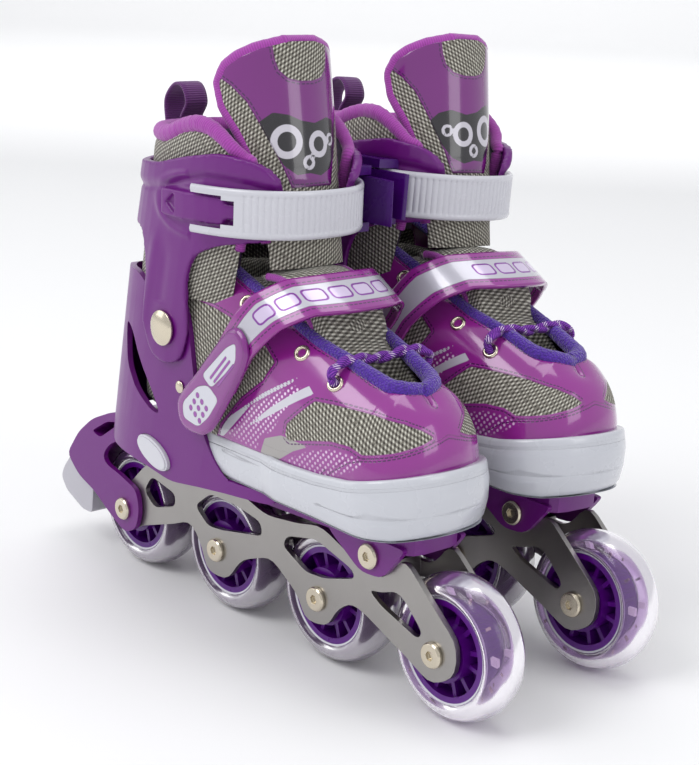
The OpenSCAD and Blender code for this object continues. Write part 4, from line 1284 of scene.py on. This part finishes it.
def tyre(side, i):
    R, W, r = 35.0, 12.0, RIM
    prof = [(r, -W + 2), (r + 1.5, -W + 0.3), (r + 3.5, -W), (r + 6, -W + 1.2), (r + 8, -W + 3.6),
            (R - 0.8, -5.2), (R, -1.6), (R, 1.6), (R - 0.8, 5.2), (r + 8, W - 3.6), (r + 6, W - 1.2),
            (r + 3.5, W), (r + 1.5, W - 0.3), (r, W - 2)]
    prof = [tuple(p) for p in smooth_path(prof, 44)] + [(r, 0)]
    at = (AXLE_X[i - 1], 35)
    # The three rear tyres take the darker copy of the urethane, which is painted shade.
    ob = lathe(f"tyre_{i}", side, at, 1, prof + [prof[0]], "tyre_front" if i == 4 else "tyre_rear_shaded",
               f"wheel_{i}", "wheel_clear", 96, stands=(f"tyre_{i}",))
    # Thin light ring where the hub meets the tyre
    for sg in (-1, 1):
        ring = [(RIM - 0.9, sg * (W - 2.3)), (RIM - 0.2, sg * (W - 1.7)), (RIM + 0.7, sg * (W - 1.5)),
                (RIM + 1.2, sg * (W - 2.3))]
        lathe(f"rim_ring_{i}_{'a' if sg < 0 else 'b'}", side, at, 1, ring, "white", f"wheel_{i}",
              "wheel_clear", 72)
    if i == 4:
        # Coil pins and light blocks cast into the clear tyre
        for j in range(12):
            a = math.radians(j * 30 + 8)
            for sg in (-1, 1):
                r1 = RIM + (5.2 if j % 3 else 4.6)
                c = np.array([at[0] + r1 * math.cos(a), sg * 7.2, at[1] + r1 * math.sin(a)])
                led = j % 3 == 0
                hx, hy, hz = (2.3, 1.1, 1.9) if led else (1.5, 0.5, 0.7)
                ca, sa = math.cos(a), math.sin(a)
                V = [c + np.array([ca * u - sa * v, w, sa * u + ca * v])
                     for u in (-hx, hx) for w in (-hy, hy) for v in (-hz, hz)]
                F = [(0, 1, 3, 2), (4, 6, 7, 5), (0, 4, 5, 1), (2, 3, 7, 6), (0, 2, 6, 4), (1, 5, 7, 3)]
                make(f"wheel_bit_{j + 1}_{'a' if sg < 0 else 'b'}", side, V, F, "led" if led else "nickel",
                     f"wheel_{i}", "wheel_clear", smooth=False)


def buckle_springs(side):
    """Short coil springs above and below the buckle block."""
    for nm, z0 in (("low", 200.4), ("high", 233.6)):
        a = np.linspace(0, 2 * math.pi * 6, 150)
        path = np.c_[-39 + 1.9 * np.cos(a), 49.6 + 1.9 * np.sin(a), z0 + a / (2 * math.pi) * 0.85]
        tube(f"buckle_spring_{nm}", side, path, 0.33, "nickel", "upper_cuff", "bolt_steel", sides=6,
             up=(0, 0.1, 1))


def rivet(side, name, at, r, body, mat="chrome", slot="bolt_steel", sg=-1, h=2.4, base=None):
    x, y, z = at
    prof = [(r, 0.0), (r, h * 0.35), (r * 0.93, h * 0.6), (r * 0.75, h * 0.85), (r * 0.45, h * 0.98),
            (0.01, h)]
    pr = [(p, abs(y) + q) for p, q in prof]
    lathe(name, side, (x, z), sg, pr, mat, body, slot, 48)


RIM = 25.0


def cuff(side):
    """The cuff with its raised rim, crease, anchor boss and soft ridges."""
    src = frame["nodes"][f"{side}_cuff"]
    me = src.data.copy()
    ob = bpy.data.objects.new(f"{side}_cuff_look", me)
    bpy.context.scene.collection.objects.link(ob)
    me.materials.clear()
    me.materials.append(M["plastic"])
    modifier(ob, "REMESH", mode="VOXEL", voxel_size=0.0009)
    modifier(ob, "SMOOTH", factor=0.5, iterations=2)
    apply_all(ob)
    me = ob.data
    co = np.zeros(len(me.vertices) * 3)
    me.vertices.foreach_get("co", co)
    P = local(side, co.reshape(-1, 3))
    x, y, z = P.T
    rim = np.interp(x, [-110, -73, -53, -38, -24, -11, 0, 9, 17], [233, 235, 238, 243, 246, 246, 245, 243, 240])
    down = rim - z
    band = 1.5 / (1 + np.exp((down - 9.5) / 0.7))
    crease = -0.7 * np.exp(-((down - 12) / 1.2) ** 2)
    side_on = np.clip((np.abs(y) - 18) / 14, 0, 1)
    ax, az = (x + 30) / 30, (z - 219.75) / 15
    arch = np.abs(np.hypot(np.minimum(ax, 0) * 1.0, az) - 1)
    boss = 0.9 * np.exp(-(arch / 0.11) ** 2) * (x < -34) * side_on
    ridge = 1.1 * np.exp(-((x + 64 - (z - 190) * 0.24) / 4.5) ** 2) * np.clip((205 - z) / 10, 0, 1)
    valley = -0.6 * np.exp(-((x + 53 - (z - 190) * 0.2) / 3.5) ** 2) * np.clip((200 - z) / 10, 0, 1) * (z > 168)
    lift = band + crease + boss + (ridge + valley) * side_on
    cx = -45 + (z - 219.75) * math.tan(math.radians(12))
    n = np.c_[(x - cx) / 58 ** 2, y / 43.5 ** 2]
    n /= np.linalg.norm(n, axis=1)[:, None] + 1e-9
    r = (np.abs((x - cx) / 58.5) ** 2.3 + np.abs(y / 43.5) ** 2.3) ** (1 / 2.3)
    skin = np.clip((r - 0.955) / 0.02, 0, 1)
    P[:, 0] += n[:, 0] * lift * skin
    P[:, 1] += n[:, 1] * lift * skin
    me.vertices.foreach_set("co", world(side, P).ravel())
    me.polygons.foreach_set("use_smooth", np.ones(len(me.polygons), bool))
    if not me.materials:
        me.materials.append(M["plastic"])
    me.update()
    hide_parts(f"{side}_cuff")
    PARTS[ob.name] = (ob, f"{side}_upper_cuff")

PIVOT_X, PIVOT_Z = -54, 155


def hardware(side):
    crisp(side, "frame", "frame", "base", 0.5)
    crisp(side, "bearings", "dark", "base", 0.25)
    crisp(side, "axles", "nickel", "base", 0.35)
    crisp(side, "fasteners", "nickel", "base", 0.3)
    crisp(side, "shell", "plastic", "base", 0.9, 3)
    crisp(side, "brake_bracket", "plastic", "base", 0.8, 3)
    crisp(side, "brake_pad", "pad", "base", 0.8, 3)
    cuff(side)
    crisp(side, "buckle_base", "buckle", "upper_cuff", 0.5)
    crisp(side, "buckle_lever", "buckle", "lever", 0.5)
    crisp(side, "size_button", "white", "button", 0.7, 3)
    for i in range(1, 5):
        crisp(side, f"wheel_hub_{i}", "violet", f"wheel_{i}", 0.45)
        tyre(side, i)


for side in SIDES:
    hardware(side)
    upper(side)
    toe_sole(side)
    tongue(side)
    lower_tongue(side)
    collar(side)
    liner_foot(side)
    ankle_strap(side)
    instep_strap(side)
    strap_flap(side)
    heel_loop(side)
    lace(side)
    eyelet_rings(side)
    buckle_springs(side)

for ob, body in PARTS.values():
    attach(ob, body)

# ---------------------------------------------------- floor, light, camera


def floor():
    k = Mat("pale_floor", Roughness=0.7)
    k.put("Base Color", k.mix(k.noise(k.obj(), 2.0, 2.0), lin(243, 243, 243), lin(245, 245, 245)))
    me = bpy.data.meshes.new("floor")
    n = 24
    V, F = [], []
    for i, (y, z) in enumerate([(-6, 0), (5, 0)] + [(5 + 1.5 * math.sin(a), 1.5 - 1.5 * math.cos(a))
                                                    for a in np.linspace(0.1, 1.57, 12)] + [(6.5, 6)]):
        V += [(-8, y, z), (8, y, z)]
        if i:
            F.append((2 * i - 2, 2 * i - 1, 2 * i + 1, 2 * i))
    me.from_pydata(V, [], F)
    me.materials.append(k.m)
    me.polygons.foreach_set("use_smooth", np.ones(len(me.polygons), bool))
    ob = bpy.data.objects.new("floor", me)
    bpy.context.scene.collection.objects.link(ob)
    ob.rotation_euler = (0, 0, math.radians(45))
    ob.location = (0, 0, -0.0005)
    return ob


def area(name, at, to, size, watts, tall=None):
    d = bpy.data.lights.new(name, "AREA")
    d.shape = "RECTANGLE"
    d.size, d.size_y, d.energy = size, tall or size, watts
    ob = bpy.data.objects.new(name, d)
    bpy.context.scene.collection.objects.link(ob)
    ob.location = at
    ob.rotation_euler = (Vector(to) - Vector(at)).to_track_quat("-Z", "Y").to_euler()
    return ob


def camera():
    az, el, roll = math.radians(47.9), math.radians(15.14), math.radians(2.41)
    back = Vector((math.sin(az) * math.cos(el), -math.cos(az) * math.cos(el), math.sin(el)))
    right = Vector((math.cos(az), math.sin(az), 0))
    up = back.cross(right)
    r2 = right * math.cos(roll) + up * math.sin(roll)
    u2 = up * math.cos(roll) - right * math.sin(roll)
    cam = bpy.data.cameras.new("photo_camera")
    cam.sensor_width = 36
    cam.lens = 36 * 1654.7 / 765
    ob = bpy.data.objects.new("photo_camera", cam)
    bpy.context.scene.collection.objects.link(ob)
    m = Matrix((r2, u2, back)).transposed().to_4x4()
    m.translation = Vector((0.6236, -0.5659, 0.3483))
    ob.matrix_world = m
    bpy.context.scene.camera = ob
    return ob


world_bg = bpy.data.worlds.new("studio")
world_bg.use_nodes = True
world_bg.node_tree.nodes["Background"].inputs[0].default_value = (0.96, 0.97, 1.0, 1)
world_bg.node_tree.nodes["Background"].inputs[1].default_value = 0.72
bpy.context.scene.view_settings.view_transform = "Standard"
bpy.context.scene.world = world_bg
floor()
area("key", (-0.3, -1.9, 2.2), (0, 0, 0.1), 1.4, 26)
area("side", (2.4, 0.6, 1.2), (0, 0, 0.15), 1.0, 10, 1.6)
area("fill", (-1.8, -1.4, 0.9), (0, 0, 0.12), 1.2, 6)
area("top", (0.1, 0.3, 2.4), (0, 0, 0.1), 1.2, 10)
area("backdrop", (-1.6, 1.6, 2.6), (-4.4, 4.4, 1.6), 3.0, 70)
camera()

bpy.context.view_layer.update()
